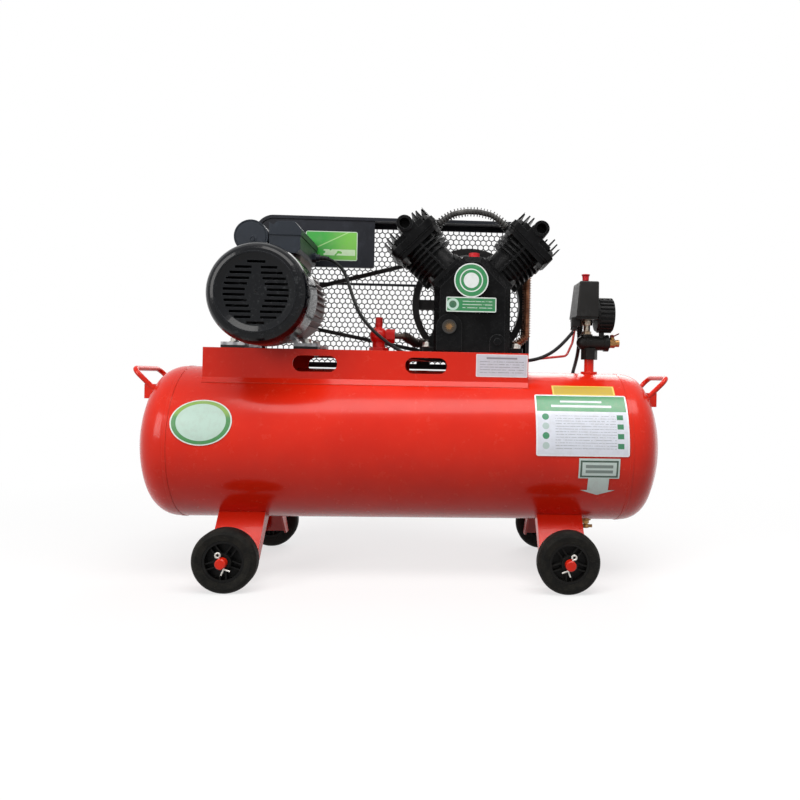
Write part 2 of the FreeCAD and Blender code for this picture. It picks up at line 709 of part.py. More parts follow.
def cylinder_head(side):
    """Head with its fins, the front intake port and the pipe boss on the inner side.
    side is -1 for the left bank; the right one also carries the delivery port at the back."""
    body = rounded_block(-head_half, head_half, -head_half, head_half, plate_s, flange_s, 15, Z)
    body = body.fuse(rounded_block(-40, 40, -50, 50, flange_s, flange_s + 12, 8, Z))
    parts = []
    for u in (-50, -40, -30, 30, 40, 50):
        tall = head_top_s if abs(u) < 45 else head_top_s - 6
        parts.append(box(u - 1.4, u + 1.4, -48, 48, flange_s - 1, tall))
    for u in (-18, -8, 2, 12, 22):
        parts.append(box(u - 1.4, u + 1.4, -12, 48, flange_s - 1, head_top_s - 2))
    parts.append(rod(16, (port_u, -61, port_s), (port_u, -12, port_s)))
    parts.append(box(port_u - 16, port_u + 16, -56, -12, flange_s - 1, port_s))
    w = pipe_y - side * bank_offset
    parts.append(rod(10.5, (boss_u, w, boss_s), (boss_out, w, boss_s))
                 .cut(box(0, head_half - 1, -99, 99, 0, plate_s)))
    body = body.fuse(parts)
    body = body.cut(rod(port_radius, (port_u, -70, port_s), (port_u, -61 + port_depth, port_s)))
    body = body.cut(box(-30, 30, -30, 30, plate_s - 1, plate_s + 9))
    body = body.cut(rod(4.5, (40, w, boss_s + 3), (80, w, boss_s + 3))
                    .common(box(boss_out - 5, 80, -99, 99, 0, 300)))
    for u, v in stud_at:
        body = body.cut(rod(stud + fit_clear, (u, v, plate_s - 5), (u, v, flange_s + 1)))
        body = body.cut(rod(9.0, (u, v, flange_s), (u, v, head_top_s + 5)))
    if side > 0:
        body = body.fuse(rod(10, (0, 46, flange_s + 2), (0, 58, flange_s + 2)))
    return max(body.removeSplitter().Solids, key=lambda s: s.Volume)


save("cylinder_left", bank(cylinder(), -1))
save("cylinder_right", bank(cylinder(), 1))
vp = rounded_block(-54, 54, -54, 54, cylinder_s, plate_s, 16, Z)
for u, w in stud_at:
    vp = vp.cut(rod(stud + fit_clear, (u, w, cylinder_s - 5), (u, w, plate_s + 5)))
for u in (-15, 15):
    vp = vp.cut(rod(6, (u, 0, cylinder_s - 5), (u, 0, plate_s + 5)))
save("valve_plates", bank(vp, -1), bank(vp, 1))
save("head_left", bank(cylinder_head(-1), -1))
save("head_right", bank(cylinder_head(1), 1))

# finned crossover pipe between the heads
fin_pipe = 10.0
root2 = math.sqrt(2)
cross_x = (boss_s - boss_out) / root2
cross_z = (boss_s + boss_out) / root2
cross_r = cross_x * root2
a0 = V(pump_x - cross_x, pipe_y, crank_z + cross_z)
a1 = V(pump_x + cross_x, pipe_y, crank_z + cross_z)
crown = V(pump_x, pipe_y, crank_z + cross_z + cross_r * (1 - 1 / root2))
arch = Part.Wire([Part.Arc(a0, crown, a1).toShape()])
cross = arch.makePipeShell([Part.Wire(Part.makeCircle(fin_pipe, a0, V(1, 0, 1)))], True, False)
save("crossover_pipe", cross)

# finned delivery pipe from the right head down to the check valve
port_w = flange_s + 2
dx = pump_x + port_w / root2
dz = crank_z + port_w / root2
dy = bank_offset + 58
delivery_y = 77.0
inlet_z = plate_top + 33.0
pipe_z = plate_top + 21.0
delivery_radius = 9.6
delivery = pipe([(dx, dy, dz), (dx, delivery_y + 1, dz), (dx, delivery_y, pipe_z + 21),
                 (dx - 26, delivery_y - 3, pipe_z), (54, delivery_y + 1, pipe_z),
                 (14, 40, pipe_z + 1), (-4, 0, inlet_z), (check_x + 33.2, 0, inlet_z)],
                delivery_radius, 30)
save("discharge_pipe", delivery)

# check valve with its stub down through the base plate into the receiver
cv = rod(stub_radius, (check_x, 0, tank_top - 6), (check_x, 0, plate_top + 8))
cv = cv.fuse(hexagon(34, (check_x, 0, plate_top + 0.3), (check_x, 0, plate_top + 9)))
cv = cv.fuse(rod(13, (check_x, 0, plate_top + 9), (check_x, 0, plate_top + 20)))
cv = cv.fuse(Part.makeSphere(18.5, V(check_x, 0, inlet_z)))
cv = cv.fuse(rod(7, (check_x, 0, inlet_z), (check_x, 0, inlet_z + 25)))
cv = cv.fuse(hexagon(13, (check_x, 0, inlet_z + 21), (check_x, 0, inlet_z + 38)))
cv = cv.fuse(hexagon(25, (check_x + 15, 0, inlet_z), (check_x + 33, 0, inlet_z)))
cv = cv.cut(rod(4.5, (check_x, 0, tank_top - 10), (check_x, 0, inlet_z)))
save("check_valve", cv.removeSplitter())

# thin unloader tube from the check valve's stub to the pressure switch
tube_r = 2.5
tube_z = plate_top - 16
union_x = switch_x - 17.0
unloader = pipe([(check_x + stub_radius + 0.4, 0, tube_z), (check_x + 26, 0, tube_z),
                 (check_x + 70, -18, tube_z), (plate_right - 20, -20, tube_z),
                 (plate_right + 34, -19, tube_z + 9), (union_x - 18, 4, tube_z + 16),
                 (union_x - 4, 14, tube_z + 44), (union_x, 14, switch_z0 - 20),
                 (union_x, 14, switch_z0 - 0.3)], tube_r, 14)
save("unloader_tube", unloader)

# bolts of the pump: head studs and nuts, foot bolts, flange nuts
screws = []
for side in (-1, 1):
    for u, w in stud_at:
        bolt = rod(stud, (u, w, cylinder_s - 24), (u, w, flange_s + 9))
        bolt = bolt.fuse(hexagon(12.5, (u, w, flange_s), (u, w, flange_s + 6.5)))
        bolt = bolt.fuse(hexagon(12.5, (u, w, cylinder_s - 16), (u, w, cylinder_s - 9)))
        screws.append(bank(bolt, side))
    for u, w in base_at:
        nut = hexagon(10, (u, w, deck_s + 8), (u, w, deck_s + 14))
        nut = nut.fuse(rod(3, (u, w, deck_s + 0.5), (u, w, deck_s + 18)))
        screws.append(bank(nut, side))


def foot_screw(x, y, seat_z, grip):
    body = rod(bolt_radius, (x, y, seat_z - grip - 9), (x, y, seat_z + 10))
    body = body.fuse(rod(9, (x, y, seat_z), (x, y, seat_z + 2)))
    body = body.fuse(hexagon(13, (x, y, seat_z + 2), (x, y, seat_z + 8.5)))
    return body.fuse(hexagon(13, (x, y, seat_z - grip - 6.5), (x, y, seat_z - grip)))


for x, y in pump_bolts:
    screws.append(foot_screw(x, y, plate_top + foot_thick, foot_thick + plate_sheet))
foot_plate_thick = 6.0
for x, y in motor_bolts:
    screws.append(foot_screw(x, y, plate_top + motor_pad + foot_plate_thick,
                             motor_pad + foot_plate_thick + plate_sheet))
save("bolts_and_nuts", *screws)

# ---------------------------------------------------------------- flywheel, pulley and belt
groove_half = belt_width / 2 + fit_clear
groove_foot = belt_width / 2 - 1.2 + fit_clear
groove_deep = belt_sink + belt_thick + 2.0


def groove_cut(radius, x, z):
    low = radius - belt_sink - belt_thick * 2 / 3
    pts = [(radius + 1, -groove_half), (radius + 1, groove_half), (low + belt_thick / 3, groove_half),
           (radius - groove_deep, groove_foot), (radius - groove_deep, -groove_foot),
           (low + belt_thick / 3, -groove_half)]
    return revolve([(x + r, belt_y + y, z) for r, y in pts], (x, 0, z), Y)


half_w = flywheel_width / 2
fly = ring(flywheel_radius, flywheel_radius - flywheel_rim, (pump_x, belt_y - half_w, crank_z),
           (pump_x, belt_y + half_w, crank_z))
fly_hub = 26.0
fly = fly.fuse(rod(fly_hub, (pump_x, bearing_y + 3, crank_z), (pump_x, belt_y + half_w, crank_z)))
for i in range(flywheel_spokes):
    spoke = box(fly_hub - 4, flywheel_radius - flywheel_rim + 2, -5, 5, -11, 11)
    spoke.translate(V(pump_x, belt_y, crank_z))
    fly = fly.fuse(turned(spoke, (pump_x, belt_y, crank_z), Y, 180 + 360 / flywheel_spokes * i))
fly = fly.cut(groove_cut(flywheel_radius, pump_x, crank_z))
fly = fly.cut(rod(journal_radius + run_clear, (pump_x, 60, crank_z), (pump_x, 160, crank_z)))
save("flywheel", fly.removeSplitter())

pulley_half = pulley_width / 2
pulley = rod(pulley_radius, (motor_x, belt_y - pulley_half, motor_z),
             (motor_x, belt_y + pulley_half, motor_z))
pulley = pulley.fuse(rod(22, (motor_x, motor_shoulder + 4, motor_z),
                         (motor_x, belt_y, motor_z)))
pulley = pulley.cut(groove_cut(pulley_radius, motor_x, motor_z))
pulley = pulley.cut(rod(motor_shaft + run_clear, (motor_x, 60, motor_z), (motor_x, 160, motor_z)))
save("motor_pulley", pulley.removeSplitter())


def belt_loop(inset, half):
    """Closed outline round both pulleys, inset below their rims, at Y = belt_y + half."""
    r1, r2 = flywheel_radius - inset, pulley_radius - inset
    dx, dz = pump_x - motor_x, crank_z - motor_z
    dist = math.hypot(dx, dz)
    lean = math.atan2(dz, dx)
    open_angle = math.acos((r1 - r2) / dist)
    y = belt_y + half

    def at(cx, cz, r, angle):
        return V(cx + r * math.cos(angle), y, cz + r * math.sin(angle))
    up, down = lean + math.pi - open_angle, lean + math.pi + open_angle
    top1, low1 = at(pump_x, crank_z, r1, up), at(pump_x, crank_z, r1, down)
    top2, low2 = at(motor_x, motor_z, r2, up), at(motor_x, motor_z, r2, down)
    far1, far2 = at(pump_x, crank_z, r1, lean), at(motor_x, motor_z, r2, lean + math.pi)
    return Part.Wire([Part.makeLine(top1, top2), Part.Arc(top2, far2, low2).toShape(),
                      Part.makeLine(low2, low1), Part.Arc(low1, far1, top1).toShape()])


def belt_slice(inset, half, depth):
    """Slab of the belt between two outlines, for one band of its trapezoid section."""
    outer = Part.Face(belt_loop(inset, -half)).extrude(V(0, 2 * half, 0))
    return outer.cut(Part.Face(belt_loop(inset + depth, -half - 1)).extrude(V(0, 2 * half + 2, 0)))


belt_bands = 3
belt = None
for i in range(belt_bands):
    half = belt_width / 2 - 2.0 * i / (belt_bands - 1)
    band = belt_slice(belt_sink + belt_thick / belt_bands * i, half, belt_thick / belt_bands)
    belt = band if belt is None else belt.fuse(band)
belt = max(belt.removeSplitter().Solids, key=lambda x: x.Volume)
save("v_belt", belt)

# ---------------------------------------------------------------- motor
frame = ring(motor_frame_radius, motor_bore, (motor_x, frame_front, motor_z),
             (motor_x, frame_rear, motor_z))
fins = []
fin_step = 9
for i in range(40):
    angle = i * fin_step
    if 58 < angle < 122 or 224 < angle < 316:
        continue
    fin = box(motor_frame_radius - 2, motor_fin_radius, frame_front + 10, frame_rear - 6, -1.4, 1.4)
    fin.translate(V(motor_x, 0, motor_z))
    fins.append(turned(fin, (motor_x, 0, motor_z), Y, -angle))
frame = frame.fuse(fins)
pad_top = plate_top + motor_pad
for side in (-1, 1):
    for y in (foot_row_front, foot_row_rear):
        y = max(y, -plate_half + 16)
        x_in, x_out = motor_x + side * 46, motor_x + side * 92
        x0, x1 = min(x_in, x_out), max(x_in, x_out)
        sole = box(x0, x1, y - 15, y + 15, pad_top, pad_top + foot_plate_thick)
        x_low, x_high = motor_x + side * 58, motor_x + side * 40
        strut = plate([(x_low, y - 13, pad_top + 2), (x_low - side * 8, y - 13, pad_top + 2),
                       (x_high - side * 10, y - 13, motor_z - 62), (x_high, y - 13, motor_z - 62)],
                      (0, 1, 0), 26)
        frame = frame.fuse([sole, strut])
        pad = box(x0, x1, y - 15, y + 15, plate_top, pad_top)
        frame = frame.fuse(pad)
top_pad = box(motor_x - 14, motor_x + 54, -70, 50, motor_z + 60, motor_z + motor_fin_radius + 1)
frame = frame.fuse(top_pad)
frame = frame.cut(rod(motor_bore, (motor_x, frame_front - 5, motor_z),
                      (motor_x, frame_rear + 5, motor_z)))
# end walls with their bearing seats
bell_radius = cowl_radius - 8.0
for y0, y1, r in ((frame_front - 6, frame_front + 2, bell_radius),
                  (frame_rear - 2, frame_rear + 8, motor_frame_radius),
                  (frame_rear + 8, motor_shoulder, 34)):
    frame = frame.fuse(rod(r, (motor_x, y0, motor_z), (motor_x, y1, motor_z)))
frame = frame.cut(rod(motor_shaft + run_clear, (motor_x, -200, motor_z), (motor_x, 200, motor_z)))
for x, y in motor_bolts:
    frame = frame.cut(rod(bolt_radius + fit_clear, (x, y, plate_top - 5), (x, y, pad_top + 12)))
frame = max(frame.removeSplitter().Solids, key=lambda s: s.Volume)
save("motor_frame", frame)

stator = ring(motor_bore - run_clear, 42, (motor_x, -70, motor_z), (motor_x, 45, motor_z))
stator = stator.fuse(ring(60, 46, (motor_x, -88, motor_z), (motor_x, 62, motor_z)))
save("stator", stator.removeSplitter())
rotor = rod(motor_shaft, (motor_x, -176, motor_z), (motor_x, motor_shaft_end, motor_z))
rotor = rotor.fuse(rod(41.5, (motor_x, -68, motor_z), (motor_x, 43, motor_z)))
save("rotor", rotor)
fan = ring(19, motor_shaft + run_clear, (motor_x, -170, motor_z), (motor_x, -140, motor_z))
fan = fan.fuse(ring(30, motor_shaft + run_clear, (motor_x, -143, motor_z), (motor_x, -139, motor_z)))
for i in range(7):
    blade = box(16, 70, -168, -140, -1.5, 1.5)
    blade.translate(V(motor_x, 0, motor_z))
    fan = fan.fuse(turned(blade, (motor_x, 0, motor_z), Y, 360 / 7 * i))
save("motor_fan", fan.removeSplitter())


def cowl_body(shrink, y_front, y_rear):
    """Drum with a rounded front edge round a dished face."""
    r, rf = cowl_radius - shrink, cowl_face_radius - shrink * 0.5
    edge = r - rf
    pts = [(0, y_front + dish_depth), (dish_inner, y_front + dish_depth), (dish_outer, y_front)]
    for i in range(7):
        a = math.pi / 2 * i / 6
        pts.append((rf + edge * math.sin(a), y_front + edge * 1.5 * (1 - math.cos(a))))
    pts += [(r, y_rear), (0, y_rear)]
    return revolve([(motor_x + x, y, motor_z) for x, y in pts], (motor_x, 0, motor_z), Y)


cowl = cowl_body(0, cowl_front, cowl_rear)
cowl = cowl.cut(cowl_body(cowl_sheet, cowl_front + cowl_sheet, cowl_rear + 1))
step = ring(cowl_face_radius - 0.5, dish_outer, (motor_x, cowl_front - 1.5, motor_z),
            (motor_x, cowl_front + 1, motor_z))
cowl = cowl.fuse(step)
slots = []
for i in range(slot_rows):
    k = i - (slot_rows - 1) / 2
    z = k * slot_pitch
    reach = math.sqrt(max(slot_circle ** 2 - z * z, 0))
    core = diamond_half * (1 - abs(k) / (slot_rows / 2 - 0.5)) if abs(k) < slot_rows / 2 - 1 else 0
    core = max(core, 8.0) if core else 0
    spans = [(-reach, -core), (core, reach)] if core else [(-reach * 0.8, reach * 0.8)]
    for x0, x1 in spans:
        slots.append(box(motor_x + x0, motor_x + x1, cowl_front - 5, cowl_front + 10,
                         motor_z + z - slot_height / 2, motor_z + z + slot_height / 2))
cowl = cowl.cut(slots)
cowl = cowl.cut(rod(2.6, (motor_x, cowl_front - 5, motor_z), (motor_x, cowl_front + 9, motor_z)))
bell_front = frame_front - 6
for side in (-1, 1):
    z0, z1 = sorted((motor_z + side * (bell_radius - 2), motor_z + side * (cowl_radius - 1)))
    cowl = cowl.fuse(box(motor_x - 6, motor_x + 6, bell_front + 0.1, cowl_rear, z0, z1).common(
        rod(cowl_radius - 0.5, (motor_x, bell_front, motor_z), (motor_x, cowl_rear, motor_z))))
cowl = cowl.cut(rod(bell_radius + weld_gap, (motor_x, bell_front - 0.5, motor_z),
                    (motor_x, frame_rear, motor_z)))
cowl = max(cowl.removeSplitter().Solids, key=lambda s: s.Volume)
save("fan_cowl", cowl)

# terminal box with its stepped lid, and the capacitor under its own round cover
tb_x0, tb_x1 = motor_x - 1.0, motor_x + 58.0
tb_y0, tb_y1 = cowl_rear + 3.0, 84.0
tb_z0 = motor_z + motor_fin_radius + 1
tb_z1 = tb_z0 + 34
low_box = plate([(tb_x0, tb_y0, tb_z0), (tb_x1 - 8, tb_y0, tb_z0), (tb_x1, tb_y0, tb_z0 + 8),
                 (tb_x1, tb_y0, tb_z1), (tb_x0, tb_y0, tb_z1)], (0, 1, 0), tb_y1 - tb_y0)
lid_pts = [(tb_x0, tb_z1), (tb_x1 + 1.5, tb_z1), (tb_x1 + 1.5, tb_z1 + 12), (tb_x1 - 11, tb_z1 + 26),
           (tb_x0 + 16, tb_z1 + 26), (tb_x0 + 8, tb_z1 + 19), (tb_x0, tb_z1 + 23)]
lid = plate([(x, tb_y0 - 1.5, z) for x, z in lid_pts], (0, 1, 0), tb_y1 - tb_y0 + 3)
tbox = low_box.fuse(lid)
tbox = tbox.cut(box(tb_x0 + 4, tb_x1 - 4, tb_y0 + 4, tb_y1 - 4, tb_z0 + 12, tb_z1 + 8))
gland_y, gland_z = 40.0, tb_z0 + 14
tbox = tbox.fuse(hexagon(17, (tb_x1 - 2, gland_y, gland_z), (tb_x1 + 7, gland_y, gland_z)))
tbox = tbox.fuse(rod(7.5, (tb_x1 + 7, gland_y, gland_z), (tb_x1 + 14, gland_y, gland_z)))
tbox = tbox.cut(rod(3.8, (tb_x1 - 3, gland_y, gland_z), (tb_x1 + 20, gland_y, gland_z)))
save("terminal_box", tbox.removeSplitter())

cap_x, cap_z, cap_r = motor_x - 35.0, motor_z + 116.5, 32.0
cap_y = cowl_rear + 2.0
capacitor = rod(cap_r - 1.2, (cap_x, cap_y + 6, cap_z), (cap_x, 46, cap_z))
capacitor = capacitor.fuse(rod(cap_r, (cap_x, cap_y, cap_z), (cap_x, cap_y + 10, cap_z)))
capacitor = capacitor.cut(ring(cap_r - 2.5, cap_r - 4, (cap_x, cap_y - 2, cap_z),
                               (cap_x, cap_y + 1, cap_z)))
screw_x, screw_z = cap_x + 4, cap_z - 6
capacitor = capacitor.fuse(ring(6.5, 5, (screw_x, cap_y - 1, screw_z), (screw_x, cap_y + 1, screw_z)))
capacitor = capacitor.fuse(rod(3.2, (screw_x, cap_y - 1.8, screw_z), (screw_x, cap_y + 1, screw_z)))
saddle = box(cap_x - 8, cap_x + 14, -60, 20, cap_z - 56, cap_z - 18)
saddle = saddle.cut(rod(motor_frame_radius + weld_gap, (motor_x, -120, motor_z),
                        (motor_x, 90, motor_z)))
capacitor = capacitor.fuse(saddle)
capacitor = capacitor.cut(box(tb_x0 - fit_clear, tb_x1, -120, 90, tb_z0 - 2, tb_z1 + 60))
capacitor = capacitor.cut(box(motor_x - 14 - fit_clear, motor_x + 60, -120, 90,
                              motor_z + 50, tb_z0 + 1))
save("capacitor_cover", max(capacitor.Solids, key=lambda s: s.Volume))


# ---------------------------------------------------------------- belt guard
def rounded_frame(grow, y0, y1):
    return rounded_block(guard_left - grow, guard_right + grow, y0, y1, guard_bottom - grow,
                         guard_top + grow, guard_corner + grow, Y)


rim = rounded_frame(0, guard_front, guard_back).cut(
    rounded_frame(-guard_sheet, guard_front - 1, guard_back + 1))
border = rounded_frame(-0.5, guard_back - 4, guard_back).cut(
    rounded_frame(-guard_frame, guard_back - 5, guard_back + 1))
front_lip = rounded_frame(-0.5, guard_front, guard_front + 2).cut(
    rounded_frame(-7, guard_front - 1, guard_front + 3))
rim = rim.fuse([border, front_lip])
for x in (-300, 30, 228):
    foot = box(x - 14, x + 14, plate_half, guard_front + 1, guard_bottom + 3, guard_bottom + 28)
    arm = box(x - 14, x + 14, guard_front, guard_front + 3, guard_bottom + 1, guard_bottom + 28)
    rim = rim.fuse([foot, arm])
bar_z = guard_bottom + 189.0
rim = rim.fuse(box(guard_left + 1, guard_right - 1, guard_back - 9, guard_back - 4, bar_z - 2.5,
                   bar_z + 2.5))
rim = max(rim.removeSplitter().Solids, key=lambda s: s.Volume)
save("guard_rim", rim)
mesh_y = guard_back - 4 + 0.6
mesh = rounded_frame(-guard_frame - fit_clear, mesh_y + 0.4, mesh_y + 2)
save("guard_mesh", mesh)
panel_y = guard_front + 2 + 0.2
panel_right, panel_z = -80.0, guard_bottom + 218.0
panel = rounded_block(guard_left + 3, panel_right, panel_y, panel_y + 1.6, panel_z,
                      guard_top - 2.5, 2, Y)
panel = panel.common(rounded_frame(-guard_sheet - 0.3, guard_front, guard_front + 10))
panel = panel.fuse(box(guard_left + 14, panel_right - 4, panel_y + 1, panel_y + 11, panel_z,
                       panel_z + 1.8))
save("guard_panel", max(panel.Solids, key=lambda s: s.Volume))

# ---------------------------------------------------------------- outlet group
riser = rod(riser_radius, (riser_x, 0, tank_top - 5), (riser_x, 0, hex_z))
collar = rod(17, (riser_x, 0, tank_top - 6), (riser_x, 0, tank_top + 4)).cut(tank_cut)
riser = riser.fuse(collar)
riser = riser.cut(rod(6, (riser_x, 0, tank_top - 10), (riser_x, 0, hex_z + 1)))
save("riser_pipe", riser)

man = hexagon(30, (riser_x, 0, hex_z), (riser_x, 0, valve_z - 12))
ball_x = manifold_x0 + manifold_radius
man = man.fuse(Part.makeSphere(manifold_radius, V(ball_x, 0, valve_z)))
man = man.fuse(rod(manifold_radius, (ball_x, 0, valve_z), (manifold_x1, 0, valve_z)))
for x0, x1 in ((ball_x + 2, ball_x + 9), (manifold_x1 - 9, manifold_x1)):
    man = man.fuse(rod(manifold_radius + 2, (x0, 0, valve_z), (x1, 0, valve_z)))
man = man.fuse(rod(11, (manifold_x1 - 4, 0, valve_z), (manifold_x1 + 3, 0, valve_z)))
nipple_x = riser_x - 6.0
man = man.fuse(rod(12.5, (nipple_x, 0, valve_z), (nipple_x, 0, manifold_z1 + 2)))
man = man.fuse(hexagon(17, (nipple_x, 0, manifold_z1 + 1), (nipple_x, 0, manifold_z1 + 8)))
man = man.fuse(rod(7, (nipple_x, 0, manifold_z1), (nipple_x, 0, switch_z0 - 8)))
man = man.fuse(hexagon(20, (nipple_x, 0, switch_z0 - 10), (nipple_x, 0, switch_z0)))
stem_x = gauge_x0 + 13
man = man.fuse(rod(5.5, (stem_x, gauge_y, valve_z + 4),
                   (stem_x, gauge_y, gauge_z - gauge_radius)))
man = man.cut(rod(5, (riser_x, 0, hex_z - 5), (riser_x, 0, valve_z - 5)))
save("manifold", man.removeSplitter())

# pressure switch, a tapered cover on a flat base


def level_outline(x0, x1, y0, y1, z):
    return Part.makePolygon([V(x, y, z) for x, y in
                             ((x0, y0), (x1, y0), (x1, y1), (x0, y1), (x0, y0))])


cover_z = switch_z0 + 5
switch = Part.makeLoft([level_outline(switch_x - 24, gauge_x0 - 1, -46, 41, cover_z),
                        level_outline(switch_x - 18, gauge_x0 - 1.5, -45, 28, switch_z1)],
                       True, True)
switch = fillet_where(switch, 3.0, lambda e: e.BoundBox.ZLength > 40 or (
    e.BoundBox.ZLength < 0.1 and e.CenterOfMass.z > switch_z1 - 11))
switch = switch.fuse(box(switch_x - 22, gauge_x0 - 2.5, -42, 37, switch_z0, cover_z + 0.5))
gland = rounded_block(switch_x - 30.5, switch_x - 12.5, -29, -11, switch_z0 - 14, cover_z - 0.5, 3, Z)
gland = gland.fuse(rod(6.5, (switch_x - 24, -20, switch_z0 - 13),
                       (switch_x - 25.5, -21, switch_z0 - 22)))
mains_gland = rod(7.5, (switch_x - 3, 28, switch_z0 + 1), (switch_x - 3, 29, switch_z0 - 9))
switch = switch.fuse([gland, mains_gland])
knob_bore = 5.0
switch = switch.cut(rod(knob_bore + run_clear, (knob_x, knob_y, switch_z1 - 12),
                        (knob_x, knob_y, switch_z1 + 5)))
switch = switch.cut(rod(3.8, (switch_x - 23.8, -19.9, switch_z0 - 11),
                        (switch_x - 26.5, -21.7, switch_z0 - 28)))
switch = switch.cut(rod(4.3, (switch_x - 3, 28.3, switch_z0 - 2),
                        (switch_x - 3, 29.5, switch_z0 - 12)))
save("pressure_switch", switch.removeSplitter())

knob = rod(knob_bore, (knob_x, knob_y, switch_z1 - 5), (knob_x, knob_y, switch_z1 + 4))
knob = knob.fuse(revolve([(knob_x + r, knob_y, switch_z1 + z) for r, z in
                          ((0, 4), (6.5, 4), (7, 13), (8.5, 15), (8.5, 17), (0, 17))],
                         (knob_x, knob_y, 0), Z))
save("switch_knob", knob)

# pressure gauge in a ribbed boot, bottom entry, its dial faces +X
g0, g1 = gauge_x0, gauge_x0 + gauge_length
case_g = rod(gauge_radius - 3, (g0, gauge_y, gauge_z), (g1, gauge_y, gauge_z))
ribs = []
for i in range(24):
    rib = box(g0 + 4, g1 - 2, gauge_radius - 5, gauge_radius, -2.2, 2.2)
    rib.translate(V(0, gauge_y, gauge_z))
    ribs.append(turned(rib, (0, gauge_y, gauge_z), X, 15 * i + 7.5))
case_g = case_g.fuse(ribs)
case_g = case_g.cut(rod(gauge_radius - 7, (g1 - 7, gauge_y, gauge_z), (g1 + 1, gauge_y, gauge_z)))
case_g = case_g.fuse(rod(2.0, (g1 - 8, gauge_y, gauge_z), (g1 - 2.5, gauge_y, gauge_z)))
case_g = case_g.cut(rod(6, (stem_x, gauge_y, gauge_z - gauge_radius - 2),
                        (stem_x, gauge_y, gauge_z - gauge_radius)))
case_g = case_g.fuse(rod(6.5, (stem_x, gauge_y, gauge_z - gauge_radius + 4.5),
                         (stem_x, gauge_y, gauge_z - gauge_radius)))
save("gauge_case", case_g.removeSplitter())
needle = ring(4.0, 2.0 + run_clear, (g1 - 5.5, gauge_y, gauge_z), (g1 - 3, gauge_y, gauge_z))
needle = needle.fuse(plate([(g1 - 5, gauge_y - 1.6, gauge_z + 3), (g1 - 5, gauge_y + 1.6, gauge_z + 3),
                            (g1 - 5, gauge_y + 0.4, gauge_z + 22),
                            (g1 - 5, gauge_y - 0.4, gauge_z + 22)], (1, 0, 0), 1.2))
needle = turned(needle, (0, gauge_y, gauge_z), X, 135)
save("gauge_needle", needle)

# outlet ball valve
valve_x0 = manifold_x1 + 3
body = hexagon(17, (valve_x0, 0, valve_z), (valve_x0 + 11, 0, valve_z))
body = body.fuse(rod(7.6, (valve_x0 + 11, 0, valve_z), (valve_end_x, 0, valve_z)))
lever_x = valve_x0 + 5.5
body = body.fuse(rod(5, (lever_x, 0, valve_z), (lever_x, 0, valve_z + 12)))
body = body.fuse(rod(2.2, (lever_x, 0, valve_z + 12), (lever_x, 0, valve_z + 18)))
outlet_radius = 4.8
outlet_depth = 9.0
body = body.cut(rod(outlet_radius, (valve_end_x - outlet_depth, 0, valve_z),
                    (valve_end_x + 1, 0, valve_z)))
save("valve_body", body.removeSplitter())
lever = ring(4.6, 2.2 + run_clear, (lever_x, 0, valve_z + 12.3), (lever_x, 0, valve_z + 17))
grip = plate([(lever_x + 3.5, -4, valve_z + 13.5), (lever_x + 14, -4, valve_z + 19),
              (lever_x + 14, -4, valve_z + 21.5), (lever_x + 3.5, -4, valve_z + 16.5)],
             (0, 1, 0), 8)
lever = lever.fuse(grip)
save("valve_lever", lever.removeSplitter())

# ---------------------------------------------------------------- cables
motor_cable_points = [
    (-200.0, 40.0, 636.0), (-176.0, 40.0, 636.0), (-154.0, 36.0, 627.0),
    (-134.0, 20.0, 606.0), (-119.0, -5.0, 569.0), (-104.0, -24.0, 530.0),
    (-86.0, -34.0, 500.0), (-56.0, -38.0, 470.0), (-8.0, -40.0, 437.0), (40.0, -40.0, 425.0),
    (95.0, -40.0, 424.0), (150.0, -40.0, 424.0), (205.0, -40.0, 424.5),
    (258.0, -38.0, 428.0), (294.0, -34.0, 444.0), (322.0, -27.0, 469.0),
    (338.5, -21.7, 489.0)]
mains_points = [
    (362.0, 29.0, 504.0), (362.0, 31.0, 478.0), (362.0, 42.0, 452.0),
    (363.0, 74.0, 428.0), (364.0, 112.0, 407.0), (366.0, 144.0, 370.0),
    (370.0, 163.0, 322.0), (374.0, 168.0, 264.0), (378.0, 167.0, 206.0),
    (380.0, 165.0, 148.0), (380.0, 163.0, 92.0), (380.0, 158.0, 46.0),
    (382.0, 133.0, 9.0), (389.0, 90.0, 5.0), (395.5, 46.0, 4.8), (398.3, 3.0, 4.8)]
cable_radius, lead_radius = 3.5, 4.0
save("motor_cable", pipe(motor_cable_points, cable_radius))
save("mains_lead", pipe(mains_points, lead_radius))
coil_x, coil_inner, coil_outer, coil_height = 342.0, 36.0, 52.0, 16.5
coil = ring(coil_outer, coil_inner, (coil_x, 0, floor_z), (coil_x, 0, coil_height))
save("mains_coil", coil)
# plug laid on the coil, its cord end towards -Y
plug_half, plug_length = 17.0, 32.0
plug_at = coil_x - (coil_inner + 4.0)
plug_z0 = coil_height + 0.3
cord_z = plug_z0 + 11.8
plug = rounded_block(plug_at - plug_half, plug_at + plug_half, 0, plug_length, plug_z0,
                     plug_z0 + 23.8, 5, Y)
for side in (-1, 1):
    plug = plug.fuse(box(plug_at + side * 6.5 - 3, plug_at + side * 6.5 + 3, plug_length - 1,
                         plug_length + 17, cord_z - 0.8, cord_z + 0.8))
plug = plug.fuse(Part.makeCone(7.5, 5, 26, V(plug_at, 0, cord_z), V(0, -1, 0)))
save("mains_plug", plug)
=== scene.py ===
"""Portable piston air compressor: red receiver on four wheels, V-twin pump, motor and belt guard."""
import json
import math

import bmesh
import bpy
from mathutils import Matrix, Vector


